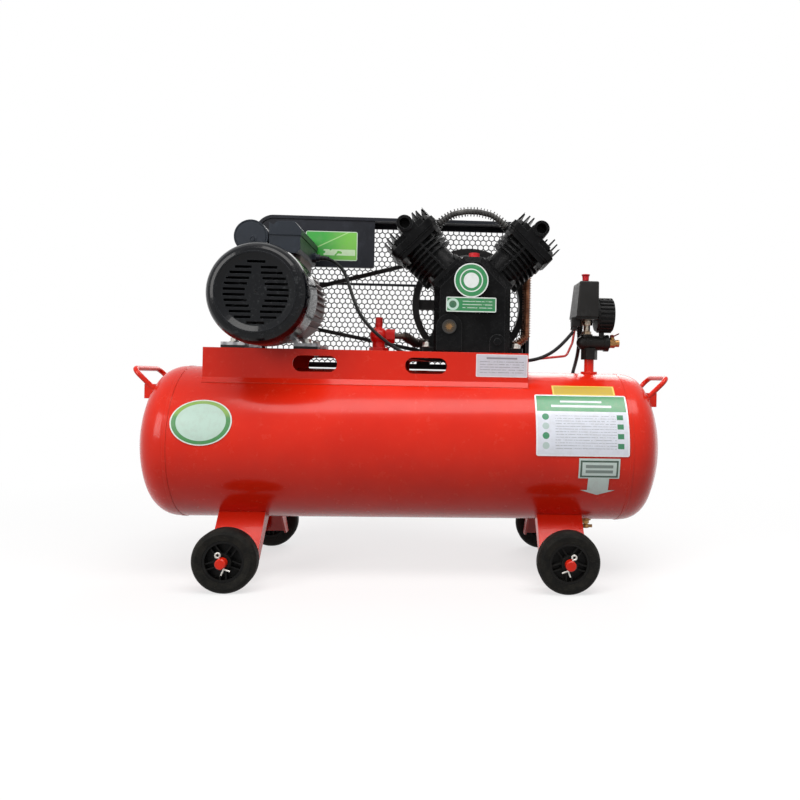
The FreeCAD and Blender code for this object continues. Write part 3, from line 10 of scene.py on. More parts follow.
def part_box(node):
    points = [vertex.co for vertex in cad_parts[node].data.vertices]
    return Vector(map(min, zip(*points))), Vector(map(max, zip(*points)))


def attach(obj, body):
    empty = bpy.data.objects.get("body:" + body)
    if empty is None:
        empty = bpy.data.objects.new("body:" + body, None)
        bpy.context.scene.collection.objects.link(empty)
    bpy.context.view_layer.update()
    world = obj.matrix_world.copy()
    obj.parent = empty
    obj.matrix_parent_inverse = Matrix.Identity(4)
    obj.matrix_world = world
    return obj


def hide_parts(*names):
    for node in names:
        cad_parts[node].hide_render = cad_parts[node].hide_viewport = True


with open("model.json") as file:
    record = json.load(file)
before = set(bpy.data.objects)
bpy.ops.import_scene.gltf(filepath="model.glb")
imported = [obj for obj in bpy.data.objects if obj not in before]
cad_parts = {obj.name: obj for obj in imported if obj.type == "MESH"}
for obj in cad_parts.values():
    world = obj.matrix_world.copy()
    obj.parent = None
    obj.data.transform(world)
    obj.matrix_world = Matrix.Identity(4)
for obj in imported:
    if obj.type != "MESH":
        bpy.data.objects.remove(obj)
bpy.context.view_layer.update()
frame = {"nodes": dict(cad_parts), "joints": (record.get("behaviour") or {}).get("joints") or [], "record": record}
nodes = frame["nodes"]
scene = bpy.context.scene
MM = 0.001

# ---------------------------------------------------------------- camera
CAMERA_AT = Vector((0.068, -1.486, 0.389))
CAMERA_TURN = math.radians(-2.94)      # to the right of the receiver's cross direction
CAMERA_ROLL = math.radians(1.09)
LENS_MM = 32.4
SHIFT = (-0.0963, -0.0266)


def make_camera():
    camera = bpy.data.objects.new("camera", bpy.data.cameras.new("camera"))
    scene.collection.objects.link(camera)
    turn = Matrix.Rotation(CAMERA_TURN, 4, "Z") @ Matrix.Rotation(math.pi / 2, 4, "X")
    camera.matrix_world = Matrix.Translation(CAMERA_AT) @ turn @ Matrix.Rotation(CAMERA_ROLL, 4, "Z")
    camera.data.lens = LENS_MM
    camera.data.sensor_width = 36.0
    camera.data.shift_x, camera.data.shift_y = SHIFT
    camera.data.clip_end = 60.0
    scene.camera = camera


make_camera()

# ---------------------------------------------------------------- where things are, from the frame
shell_low, shell_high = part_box("tank_shell")
TANK_RADIUS = (shell_high.y - shell_low.y) / 2
TANK_Z = (shell_high.z + shell_low.z) / 2
_, plate_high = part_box("base_plate")
case_low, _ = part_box("crankcase")
mesh_low, mesh_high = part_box("guard_mesh")
panel_low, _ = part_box("guard_panel")
_, cowl_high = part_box("fan_cowl")
_, boot_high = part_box("gauge_case")
joint_at = {j["name"]: Vector(j["pos_m"]) for j in frame["joints"] if "pos_m" in j}
CRANK = joint_at["flywheel_spin"]
MOTOR = joint_at["motor_spin"]
GAUGE = joint_at["gauge_needle_turn"]


# ---------------------------------------------------------------- shader maths
class Value:
    """A number socket that takes part in Python arithmetic; each operator adds its Math node."""

    def __init__(self, finish, socket):
        self.finish = finish
        self.socket = socket

    def math(self, operation, *others):
        inputs = dict(enumerate((self,) + others))
        made = self.finish.node("ShaderNodeMath", {"operation": operation}, inputs)
        return Value(self.finish, made.outputs[0])

    def __add__(self, other):
        return self.math("ADD", other)

    def __sub__(self, other):
        return self.math("SUBTRACT", other)

    def __rsub__(self, other):
        return self.math("MULTIPLY_ADD", -1.0, other)

    def __mul__(self, other):
        return self.math("MULTIPLY", other)

    def __truediv__(self, other):
        return self.math("DIVIDE", other)

    __radd__ = __add__
    __rmul__ = __mul__

    def size(self):
        return self.math("ABSOLUTE")

    def over(self, edge, soft=0.0):
        """1 where the value is above the edge, with a soft change over that width."""
        if not soft:
            return self.math("GREATER_THAN", edge)
        inputs = {0: self, 1: edge - soft / 2, 2: edge + soft / 2}
        made = self.finish.node("ShaderNodeMapRange", {"interpolation_type": "SMOOTHSTEP"}, inputs)
        return Value(self.finish, made.outputs[0])

    def under(self, edge, soft=0.0):
        return 1 - self.over(edge, soft)

    def within(self, middle, half, soft=0.0):
        return (self - middle).size().under(half, soft)


def srgb(red, green, blue):
    """A colour written as on a screen, 0 to 255, as the linear one a shader takes."""
    def linear(part):
        part /= 255
        return part / 12.92 if part <= 0.04045 else ((part + 0.055) / 1.055) ** 2.4
    return linear(red), linear(green), linear(blue), 1.0


class Finish:
    """One material: a Principled shader and a single way to add every other node."""

    def __init__(self, name, **uniform):
        self.material = bpy.data.materials.new(name)
        self.material.use_nodes = True
        self.tree = self.material.node_tree
        self.tree.nodes.clear()
        self.output = self.node("ShaderNodeOutputMaterial")
        sockets = {key.replace("_", " ").title().replace("Ior", "IOR"): v for key, v in uniform.items()}
        self.shader = self.node("ShaderNodeBsdfPrincipled", None, sockets)
        self.tree.links.new(self.shader.outputs[0], self.output.inputs[0])
        self.place = self.node("ShaderNodeTexCoord").outputs["Object"]

    def node(self, kind, settings=None, inputs=None):
        made = self.tree.nodes.new(kind)
        for key, value in (settings or {}).items():
            setattr(made, key, value)
        for key, value in (inputs or {}).items():
            value = value.socket if isinstance(value, Value) else value
            if isinstance(value, bpy.types.NodeSocket):
                self.tree.links.new(value, made.inputs[key])
            else:
                made.inputs[key].default_value = value
        return made

    def set(self, **varying):
        for key, value in varying.items():
            value = value.socket if isinstance(value, Value) else value
            target = self.shader.inputs[key.replace("_", " ").title()]
            if isinstance(value, bpy.types.NodeSocket):
                self.tree.links.new(value, target)
            else:
                target.default_value = value

    def axis(self, letter, source=None):
        split = self.node("ShaderNodeSeparateXYZ", None, {0: source or self.place})
        return Value(self, split.outputs["XYZ".index(letter)])

    def stretched(self, x, y, z):
        inputs = {"Vector": self.place, "Scale": (x, y, z)}
        return self.node("ShaderNodeMapping", None, inputs).outputs[0]

    def noise(self, scale, detail=3.0, rough=0.55, place=None):
        inputs = {"Vector": place or self.place, "Scale": scale, "Detail": detail, "Roughness": rough}
        return Value(self, self.node("ShaderNodeTexNoise", None, inputs).outputs[0])

    def cells(self, scale, feature="F1"):
        inputs = {"Vector": self.place, "Scale": scale}
        made = self.node("ShaderNodeTexVoronoi", {"feature": feature}, inputs)
        return Value(self, made.outputs["Distance"])

    def mix(self, factor, low, high):
        """A colour between two colours."""
        return self.node("ShaderNodeMix", {"data_type": "RGBA"}, {0: factor, 6: low, 7: high}).outputs[2]

    def rounding(self, radius):
        """The surface's direction with its sharp edges seen as rounded."""
        return self.node("ShaderNodeBevel", {"samples": 4}, {"Radius": radius}).outputs[0]

    def edges(self, radius, width=0.1):
        """1 along sharp edges and 0 on flat or gently curved surfaces."""
        hard = self.node("ShaderNodeNewGeometry").outputs["Normal"]
        inputs = {0: self.rounding(radius), 1: hard}
        made = self.node("ShaderNodeVectorMath", {"operation": "DOT_PRODUCT"}, inputs)
        return Value(self, made.outputs["Value"]).under(1 - width / 2, width)

    def bump(self, height, depth, normal=None):
        inputs = {"Height": height, "Distance": depth, "Strength": 1.0}
        if normal is not None:
            inputs["Normal"] = normal
        made = self.node("ShaderNodeBump", None, inputs)
        self.tree.links.new(made.outputs[0], self.shader.inputs["Normal"])
        return made.outputs[0]


FINISHES = {}


def finish_for(*slots):
    """Registers a function as the maker of the material of these slots."""
    def keep(maker):
        for slot in slots:
            FINISHES[slot] = maker
        return maker
    return keep


MADE = {}


def material(slot):
    if slot not in MADE:
        MADE[slot] = FINISHES[slot](slot)
    return MADE[slot]


# ---------------------------------------------------------------- finishes of the object
def gloss_paint(name, colour, dark, paler_tone, orange_peel=0.00012):
    """Sprayed enamel over sheet steel: orange peel, a little dust, and lighter edges, partly worn thin and partly
    a painted highlight.
    """
    f = Finish(name, roughness=0.24, coat_weight=0.14, coat_roughness=0.08, specular_ior_level=0.16)
    clouds = f.noise(7.0, 4.0)
    streaks = f.noise(16.0, 5.0, 0.65, f.stretched(1.0, 1.0, 0.25))
    dust = f.noise(60.0, 6.0, 0.7).over(0.6, 0.16) * 0.06
    specks = f.cells(240.0).under(0.14, 0.08) * f.noise(12.0).over(0.6, 0.1)
    tone = f.mix(clouds.over(0.5, 0.5), colour, dark)
    tone = f.mix(streaks.over(0.56, 0.24) * 0.18, tone, dark)
    tone = f.mix(dust, tone, paler_tone)
    tone = f.mix(specks * 0.3, tone, paler_tone)
    # edges turned towards the paler tone: partly wear, partly a painted highlight
    worn_and_lit_edges = f.edges(1.4 * MM, 0.16)
    tone = f.mix(worn_and_lit_edges * 0.28, tone, paler_tone)
    f.set(base_color=tone, roughness=f.noise(24.0, 4.0) * 0.2 + 0.13 + dust * 0.9)
    f.bump(f.noise(420.0, 2.0), orange_peel, f.rounding(1.2 * MM))
    return f


@finish_for("red_paint")
def red_paint(name):
    f = gloss_paint(name, srgb(224, 40, 16), srgb(212, 34, 13), srgb(236, 110, 84))
    return f.material


@finish_for("valve_red")
def valve_red(name):
    f = gloss_paint(name, srgb(214, 34, 28), srgb(170, 20, 18), srgb(236, 96, 88), 0.0004)
    return f.material


def casting(name, colour, grey, roughness=0.36, sand=0.0005, edge_wear_and_highlight=0.5, specular=0.16, cloud=0.25):
    """Sand-cast iron or aluminium under a satin spray coat."""
    f = Finish(name, specular_ior_level=specular)
    clouds = f.noise(18.0, 5.0, 0.6)
    grit = f.noise(700.0, 2.0)
    dust = f.noise(85.0, 5.0, 0.7).over(0.56, 0.2)
    # lighter edges: partly wear, partly a painted highlight
    worn_and_lit_edges = f.edges(1.6 * MM, 0.2)
    tone = f.mix(clouds.over(0.52, 0.4) * cloud, colour, grey)
    tone = f.mix(dust * cloud * 0.5, tone, grey)
    tone = f.mix(worn_and_lit_edges * edge_wear_and_highlight, tone, grey)
    f.set(base_color=tone, roughness=clouds * 0.16 + (roughness - 0.08) + dust * 0.1)
    f.bump(grit + clouds * 2, sand, f.rounding(1.4 * MM))
    return f


@finish_for("pump_black")
def pump_black(name):
    return casting(name, srgb(4, 4, 5), srgb(82, 83, 84), 0.22, 0.0004, 0.6, 0.08, 0.07).material


@finish_for("manifold_black")
def manifold_black(name):
    """Black cast body; the nipple above it and the ports are plated."""
    f = casting(name, srgb(14, 14, 14), srgb(64, 62, 58), 0.36, 0.0004, 0.4, 0.14, 0.2)
    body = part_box("manifold")
    plated = f.axis("Z").over(body[0].z + 52 * MM) * f.axis("X").under(body[0].x + 34 * MM)
    bare = f.noise(90.0, 4.0).over(0.5, 0.3)
    silver = f.mix(bare, srgb(196, 186, 172), srgb(150, 128, 104))
    tone = f.shader.inputs["Base Color"].links[0].from_socket
    f.set(base_color=f.mix(plated, tone, silver), metallic=plated)
    return f.material


@finish_for("motor_grey")
def motor_grey(name):
    """Ribbed aluminium frame under grey-brown paint, with painted shade just behind the cowl, on galvanised feet
    that are black along their lowest 5 mm.
    """
    f = casting(name, srgb(88, 79, 78), srgb(134, 122, 118), 0.44, 0.0003, 0.3, 0.25, 0.3)
    tone = f.shader.inputs["Base Color"].links[0].from_socket
    height = f.axis("Z") - plate_high.z
    flakes = f.cells(110.0, "SMOOTH_F1").over(0.45, 0.3)
    zinc = f.mix(flakes, srgb(168, 168, 170), srgb(122, 122, 126))
    foot = height.under(0.026, 0.004) * (1 - (f.axis("X") - MOTOR.x).size().under(0.038))
    tone = f.mix(foot, tone, zinc)
    # black along the lowest 5 mm above the plate
    tone = f.mix(height.under(0.005), tone, srgb(20, 20, 20))
    # painted shade: the frame just behind the cowl darkened to near black where the cowl shades it
    tone = f.mix(f.axis("Y").under(cowl_high.y + 7 * MM) * height.over(0.05), tone, srgb(16, 16, 17))
    f.set(base_color=tone, metallic=foot * height.over(0.005) * 0.8)
    return f.material


@finish_for("flywheel_iron")
def flywheel_iron(name):
    f = casting(name, srgb(15, 15, 17), srgb(78, 76, 74), 0.4, 0.0004, 0.5, 0.14, 0.2)
    return f.material


def moulded(name, colour, light, roughness=0.4, grain=0.00025, specular=0.16, scuff=0.25):
    """Injection-moulded plastic with a fine grain, handling marks and dust."""
    f = Finish(name, specular_ior_level=specular)
    marks = f.noise(34.0, 6.0, 0.7, f.stretched(1.0, 3.0, 0.6)).over(0.6, 0.14)
    dust = f.noise(150.0, 4.0, 0.7).over(0.55, 0.2)
    tone = f.mix(f.noise(9.0).over(0.5, 0.4) * 0.16, colour, light)
    tone = f.mix(marks * scuff, tone, light)
    # lighter edges: partly wear, partly a painted highlight
    tone = f.mix(f.edges(1.2 * MM, 0.2) * 0.4, tone, light)
    f.set(base_color=tone, roughness=f.noise(45.0, 3.0) * 0.14 + (roughness - 0.07) + dust * 0.07)
    f.bump(f.noise(900.0, 2.0) + marks * 0.5, grain, f.rounding(1.0 * MM))
    return f


@finish_for("cowl_black")
def cowl_black(name):
    """Pressed steel in gloss black stove enamel."""
    f = Finish(name, coat_weight=0.26, coat_roughness=0.05, specular_ior_level=0.08)
    clouds = f.noise(12.0, 4.0)
    dust = f.noise(130.0, 5.0, 0.7).over(0.6, 0.14) * f.noise(14.0).over(0.5, 0.2)
    tone = f.mix(clouds.over(0.5, 0.4), srgb(2, 4, 9), srgb(8, 10, 14))
    tone = f.mix(dust * 0.22, tone, srgb(96, 98, 100))
    # bluish-grey edges: a painted rim highlight, partly wear
    tone = f.mix(f.edges(1.2 * MM, 0.2) * 0.35, tone, srgb(78, 82, 88))
    f.set(base_color=tone, roughness=clouds * 0.1 + 0.14 + dust * 0.3)
    f.bump(f.noise(260.0, 2.0) + f.noise(30.0) * 2, 0.0002, f.rounding(1.4 * MM))
    return f.material


@finish_for("box_black")
def box_black(name):
    return moulded(name, srgb(30, 35, 42), srgb(64, 72, 84), 0.36, 0.0002, 0.2, 0.15).material


@finish_for("guard_black")
def guard_black(name):
    """Folded sheet steel in blue-black satin powder coat."""
    return moulded(name, srgb(22, 24, 30), srgb(64, 68, 78), 0.34, 0.0002, 0.18, 0.15).material


@finish_for("switch_black")
def switch_black(name):
    return moulded(name, srgb(26, 25, 24), srgb(78, 78, 78), 0.38, 0.0002, 0.18, 0.2).material


@finish_for("gauge_black")
def gauge_black(name):
    return moulded(name, srgb(13, 13, 13), srgb(54, 54, 54), 0.48, 0.0004).material


@finish_for("fan_plastic", "cable_black")
def soft_black(name):
    return moulded(name, srgb(20, 20, 21), srgb(64, 64, 66), 0.38, 0.0002).material


@finish_for("hub_plastic")
def hub_plastic(name):
    return moulded(name, srgb(13, 13, 13), srgb(52, 50, 47), 0.46, 0.0002, 0.12, 0.2).material


@finish_for("red_plastic")
def red_plastic(name):
    return moulded(name, srgb(196, 26, 36), srgb(232, 92, 96), 0.34).material


@finish_for("tube_red")
def tube_red(name):
    f = moulded(name, srgb(206, 62, 58), srgb(232, 130, 120), 0.3)
    f.set(coat_weight=0.3)
    return f.material


@finish_for("lever_red")
def lever_red(name):
    return moulded(name, srgb(112, 34, 34), srgb(168, 104, 96), 0.42).material


@finish_for("needle_red")
def needle_red(name):
    return moulded(name, srgb(190, 24, 20), srgb(220, 80, 70), 0.4).material


def rubber(name, colour, paler_tone, roughness):
    """Vulcanised rubber with patches of road dust and scuffs."""
    f = Finish(name, specular_ior_level=0.12)
    dirt = f.noise(40.0, 6.0, 0.7).over(0.52, 0.3)
    scuffs = f.noise(130.0, 4.0, 0.6, f.stretched(1.0, 1.0, 3.0)).over(0.62, 0.12)
    tone = f.mix(dirt * 0.5, colour, paler_tone)
    tone = f.mix(scuffs * 0.4, tone, paler_tone)
    f.set(base_color=tone, roughness=dirt * 0.12 + roughness)
    f.bump(f.noise(520.0, 3.0) + scuffs, 0.0004, f.rounding(1.2 * MM))
    return f


@finish_for("tyre_rubber")
def tyre_rubber(name):
    """Tyre rubber with road dust and scuffs."""
    f = rubber(name, srgb(14, 14, 13), srgb(50, 48, 43), 0.62)
    return f.material


@finish_for("belt_rubber")
def belt_rubber(name):
    f = rubber(name, srgb(20, 20, 21), srgb(58, 58, 58), 0.58)
    return f.material


def metal(name, bright, dull, roughness, tarnish=0.5, grain=0.0002, metallic=1.0, stretch=(1, 1, 1)):
    """Bare or plated metal with tarnish, tool marks, and brighter edges that are partly wear and partly a painted
    highlight.
    """
    f = Finish(name)
    stain = f.noise(55.0, 6.0, 0.65).over(0.5, 0.36)
    tools = f.noise(600.0, 3.0, 0.6, f.stretched(*stretch))
    tone = f.mix(stain * tarnish, bright, dull)
    # brighter edges: partly wear, partly a painted highlight
    tone = f.mix(f.edges(0.9 * MM, 0.2) * 0.6, tone, bright)
    f.set(base_color=tone, metallic=metallic - stain * 0.25)
    f.set(roughness=stain * 0.2 + tools * 0.12 + (roughness - 0.06))
    f.bump(tools, grain, f.rounding(0.8 * MM))
    return f


@finish_for("zinc")
def zinc(name):
    """Plated screws; those of the pump above its feet went under the black spray."""
    f = metal(name, srgb(206, 204, 198), srgb(136, 130, 122), 0.3)
    tone = f.shader.inputs["Base Color"].links[0].from_socket
    shine = f.shader.inputs["Metallic"].links[0].from_socket
    black = f.axis("Z").over(case_low.z + 60 * MM)
    f.set(base_color=f.mix(black, tone, srgb(16, 16, 16)),
          metallic=Value(f, shine) * (1 - black))
    return f.material


@finish_for("machined_steel")
def machined_steel(name):
    return metal(name, srgb(178, 178, 180), srgb(118, 116, 114), 0.3, 0.4, 0.0001, 1.0, (1, 8, 1)).material


@finish_for("piston_alloy")
def piston_alloy(name):
    return metal(name, srgb(204, 204, 206), srgb(140, 138, 136), 0.34).material


@finish_for("brass", "drain_brass")
def brass(name):
    return metal(name, srgb(170, 128, 78), srgb(84, 62, 42), 0.3, 0.7).material


@finish_for("pipe_copper")
def pipe_copper(name):
    """Finned delivery pipe: copper near the pump, dulled to grey towards the receiver."""
    f = metal(name, srgb(158, 108, 80), srgb(84, 54, 40), 0.36, 0.6)
    tone = f.shader.inputs["Base Color"].links[0].from_socket
    grey = f.axis("X").under(CRANK.x - 0.05, 0.1)
    f.set(base_color=f.mix(grey * 0.9, tone, srgb(58, 56, 55)))
    return f.material


@finish_for("pipe_black")
def pipe_black(name):
    """Finned cross-over pipe, blackened, with its fin tips lighter: partly rubbed bright, partly a painted
    highlight.
    """
    return metal(name, srgb(86, 85, 82), srgb(16, 16, 16), 0.34, 0.8, 0.0002, 0.4).material


@finish_for("mesh_wire")
def mesh_wire(name):
    f = metal(name, srgb(60, 60, 66), srgb(24, 24, 27), 0.4, 0.8, 0.0001, 0.5)
    return f.material


@finish_for("glass")
def glass(name):
    """Clear sight window with dark oil behind it, in a blackened ring."""
    f = Finish(name, ior=1.46, specular_ior_level=0.6)
    low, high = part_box("sight_glass")
    across, up = f.axis("X") - (low.x + high.x) / 2, f.axis("Z") - (low.z + high.z) / 2
    oil = up.under(0.0, 0.002)
    haze = f.noise(200.0, 3.0)
    tone = f.mix(oil, srgb(78, 62, 34), srgb(46, 30, 12))
    tone = f.mix(haze * 0.3, tone, srgb(110, 92, 60))
    rim = (across * across + up * up).over((11.6 * MM) ** 2)
    f.set(base_color=f.mix(rim, tone, srgb(34, 31, 27)), roughness=haze * 0.1 + 0.08)
    f.bump(haze, 0.0001)
    return f.material


def dress_frame():
    """Gives every carried-over piece the finish of its own slot."""
    slot_of = {part["node"]: part["material_slot"] for part in frame["record"]["subparts"]}
    for name, piece in nodes.items():
        piece.data.materials.clear()
        piece.data.materials.append(material(slot_of[name]))


# ---------------------------------------------------------------- making pieces
def piece_from(mesh, name, body, slot, finish=None):
    """Links a mesh as a piece that rides on a body, with its finish."""
    piece = bpy.data.objects.new(name, mesh)
    scene.collection.objects.link(piece)
    mesh.materials.clear()
    mesh.materials.append(finish or material(slot))
    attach(piece, body)
    return piece


def mesh_of(bm, name):
    """The finished bmesh as a mesh."""
    mesh = bpy.data.meshes.new(name)
    bm.to_mesh(mesh)
    bm.free()
    return mesh


def smooth(mesh, angle=35.0):
    mesh.shade_smooth()
    mesh.set_sharp_from_angle(angle=math.radians(angle))


# ---------------------------------------------------------------- cords
def nurbs(name, points, diameter):
    """A cord: one open NURBS spline, round in section."""
    curve = bpy.data.curves.new(name, "CURVE")
    curve.dimensions = "3D"
    curve.resolution_u = 8
    curve.bevel_depth = diameter / 2
    curve.bevel_resolution = 3
    curve.use_fill_caps = True
    spline = curve.splines.new("NURBS")
    spline.points.add(len(points) - 1)
    for at, point in zip(points, spline.points):
        point.co = (*at, 1.0)
    spline.order_u = 3
    spline.use_endpoint_u = True
    curve.materials.append(material("cable_black"))
    cord = bpy.data.objects.new(name, curve)
    scene.collection.objects.link(cord)
    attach(cord, "machine")
    return cord


LEAD = 8 * MM
MAINS_POINTS = [
    (0.362, 0.029, 0.504), (0.362, 0.031, 0.478), (0.362, 0.042, 0.452), (0.363, 0.074, 0.428),
    (0.364, 0.112, 0.407), (0.366, 0.144, 0.370), (0.370, 0.163, 0.322), (0.374, 0.168, 0.264),
    (0.378, 0.167, 0.206), (0.380, 0.165, 0.148), (0.380, 0.163, 0.092), (0.380, 0.158, 0.046),
    (0.382, 0.133, 0.009), (0.389, 0.090, 0.005), (0.3955, 0.046, 0.0048), (0.3983, 0.003, 0.0048)]
MOTOR_CABLE = 7 * MM
MOTOR_CABLE_POINTS = [
    (-0.200, 0.040, 0.636), (-0.176, 0.040, 0.636), (-0.154, 0.036, 0.627), (-0.134, 0.020, 0.606),
    (-0.119, -0.005, 0.569), (-0.104, -0.024, 0.530), (-0.086, -0.034, 0.500), (-0.056, -0.038, 0.470),
    (-0.008, -0.040, 0.437), (0.040, -0.040, 0.425), (0.095, -0.040, 0.424), (0.150, -0.040, 0.424),
    (0.205, -0.040, 0.4245), (0.258, -0.038, 0.428), (0.294, -0.034, 0.444), (0.322, -0.027, 0.469),
    (0.3385, -0.0217, 0.489)]
COIL_AT = (0.342, 0.0)
COIL_POINTS = 16                       # control points to a turn
COIL_OUTER, COIL_INNER = 48 * MM, 40 * MM
COIL_LOW, COIL_HIGH, COIL_TOP = 4.3 * MM, 12.5 * MM, 28.6 * MM


def coil_points():
    """Turns of the put-away lead: outer and inner below, inner and outer above, then up to the plug."""
    # turn number: radius and height that the lead has come to there
    plan = [(0.0, 55.0 * MM, 4.8 * MM), (0.3, COIL_OUTER, COIL_LOW), (1.0, COIL_OUTER, COIL_LOW),
            (1.2, COIL_INNER, COIL_LOW), (2.0, COIL_INNER, COIL_LOW), (2.3, COIL_INNER, COIL_HIGH),
            (3.0, COIL_INNER, COIL_HIGH), (3.25, COIL_OUTER, COIL_HIGH), (3.95, COIL_OUTER, COIL_HIGH),
            (4.3, 46.0 * MM, COIL_TOP)]
    points = []
    for step in range(1, int(plan[-1][0] * COIL_POINTS) + 1):
        turns = step / COIL_POINTS
        after = next(i for i, row in enumerate(plan) if row[0] >= turns)
        start, end = plan[after - 1], plan[after]
        part = (turns - start[0]) / (end[0] - start[0])
        part = part * part * (3 - 2 * part)
        radius = start[1] + (end[1] - start[1]) * part
        angle = -2 * math.pi * turns
        points.append((COIL_AT[0] + radius * math.cos(angle), COIL_AT[1] + radius * math.sin(angle),
                       start[2] + (end[2] - start[2]) * part))
    return points


PLUG_ENTRY = (0.302, -0.026, COIL_TOP)


def cone(name, start, end, wide, narrow, rings=5):
    """Tapered strain relief with moulded rings, from its wide end to its narrow end."""
    start, end = Vector(start), Vector(end)
    along = end - start
    turn = along.to_track_quat("Z", "Y").to_matrix().to_4x4()
    bm = bmesh.new()
    rows = []
    steps = rings * 4
    for i in range(steps + 1):
        share = i / steps
        radius = wide + (narrow - wide) * share
        radius -= 0.0007 if i % 4 == 2 else 0.0
        rows.append([bm.verts.new((radius * math.cos(a * math.pi / 12), radius * math.sin(a * math.pi / 12),
                                   along.length * share)) for a in range(24)])
    for low, high in zip(rows, rows[1:]):
        for a in range(24):
            bm.faces.new((low[a], low[(a + 1) % 24], high[(a + 1) % 24], high[a]))
    bm.faces.new(rows[0][::-1])
    bm.faces.new(rows[-1])
    bm.transform(Matrix.Translation(start) @ turn)
    mesh = mesh_of(bm, name)
    smooth(mesh, 50)
    return piece_from(mesh, name, "machine", "cable_black")


def make_cords():
    turns = coil_points()
    lead = nurbs("mains_cord", MAINS_POINTS + turns + [(0.3022, -0.034, COIL_TOP), PLUG_ENTRY], LEAD)
    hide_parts("mains_lead", "mains_coil")
    cable = nurbs("motor_cord", MOTOR_CABLE_POINTS, MOTOR_CABLE)
    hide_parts("motor_cable")
    cone("mains_strain_relief", (0.362, 0.0288, 0.5055), (0.362, 0.0312, 0.478), 7.2 * MM, 4.8 * MM)
    cone("motor_cable_relief", (-0.190, 0.040, 0.636), (-0.169, 0.0398, 0.6352), 6.2 * MM, 4.3 * MM, 3)


# ---------------------------------------------------------------- geometry nodes
class Tree:
    """A Geometry Nodes tree with named inputs, used once and turned into a plain mesh."""

    def __init__(self, name):
        self.group = bpy.data.node_groups.new(name, "GeometryNodeTree")
        self.group.interface.new_socket("Geometry", in_out="INPUT", socket_type="NodeSocketGeometry")
        self.group.interface.new_socket("Geometry", in_out="OUTPUT", socket_type="NodeSocketGeometry")
        self.values = {}
        self.inputs = self.group.nodes.new("NodeGroupInput")
        self.result = self.group.nodes.new("NodeGroupOutput")

    def size(self, name, value):
        socket = self.group.interface.new_socket(name, in_out="INPUT", socket_type="NodeSocketFloat")
        self.values[socket.identifier] = value
        return self.inputs.outputs[socket.identifier]

    def node(self, kind, settings=None, inputs=None):
        made = self.group.nodes.new(kind)
        for key, value in (settings or {}).items():
            setattr(made, key, value)
        for key, value in (inputs or {}).items():
            if isinstance(value, (list, tuple)) and value and isinstance(value[0], bpy.types.NodeSocket):
                for link in reversed(value):
                    self.group.links.new(link, made.inputs[key])
            elif isinstance(value, bpy.types.NodeSocket):
                self.group.links.new(value, made.inputs[key])
            else:
                made.inputs[key].default_value = value
        return made.outputs[0]

    def math(self, operation, *values):
        return self.node("ShaderNodeMath", {"operation": operation}, dict(enumerate(values)))

    def mesh(self, geometry, finish, source, name):
        """Ends the tree, evaluates it on the source object and returns the finished mesh."""
        whole = self.node("GeometryNodeRealizeInstances", None, {0: geometry})
        whole = self.node("GeometryNodeSetMaterial", None, {0: whole, "Material": finish})
        self.group.links.new(whole, self.result.inputs[0])
        modifier = source.modifiers.new(name, "NODES")
        modifier.node_group = self.group
        for identifier, value in self.values.items():
            modifier[identifier] = value
        graph = bpy.context.evaluated_depsgraph_get()
        made = bpy.data.meshes.new_from_object(source.evaluated_get(graph), depsgraph=graph)
        made.name = name
        data = source.data
        bpy.data.objects.remove(source)
        if isinstance(data, bpy.types.Curve):
            bpy.data.curves.remove(data)
        return made


def empty_source(name):
    """An object with no shape of its own, for a tree that makes everything itself."""
    source = bpy.data.objects.new(name + "_source", bpy.data.meshes.new(name + "_source"))
    scene.collection.objects.link(source)
    return source


def path_source(name, points, closed=False):
    """A curve of straight runs, for a tree that rounds or follows it."""
    curve = bpy.data.curves.new(name + "_path", "CURVE")
    curve.dimensions = "3D"
    spline = curve.splines.new("POLY")
    spline.points.add(len(points) - 1)
    for at, point in zip(points, spline.points):
        point.co = (*at, 1.0)
    spline.use_cyclic_u = closed
    source = bpy.data.objects.new(name + "_path", curve)
    scene.collection.objects.link(source)
    return source


NET_PITCH = 12.4 * MM
NET_WIRE = 2.2 * MM


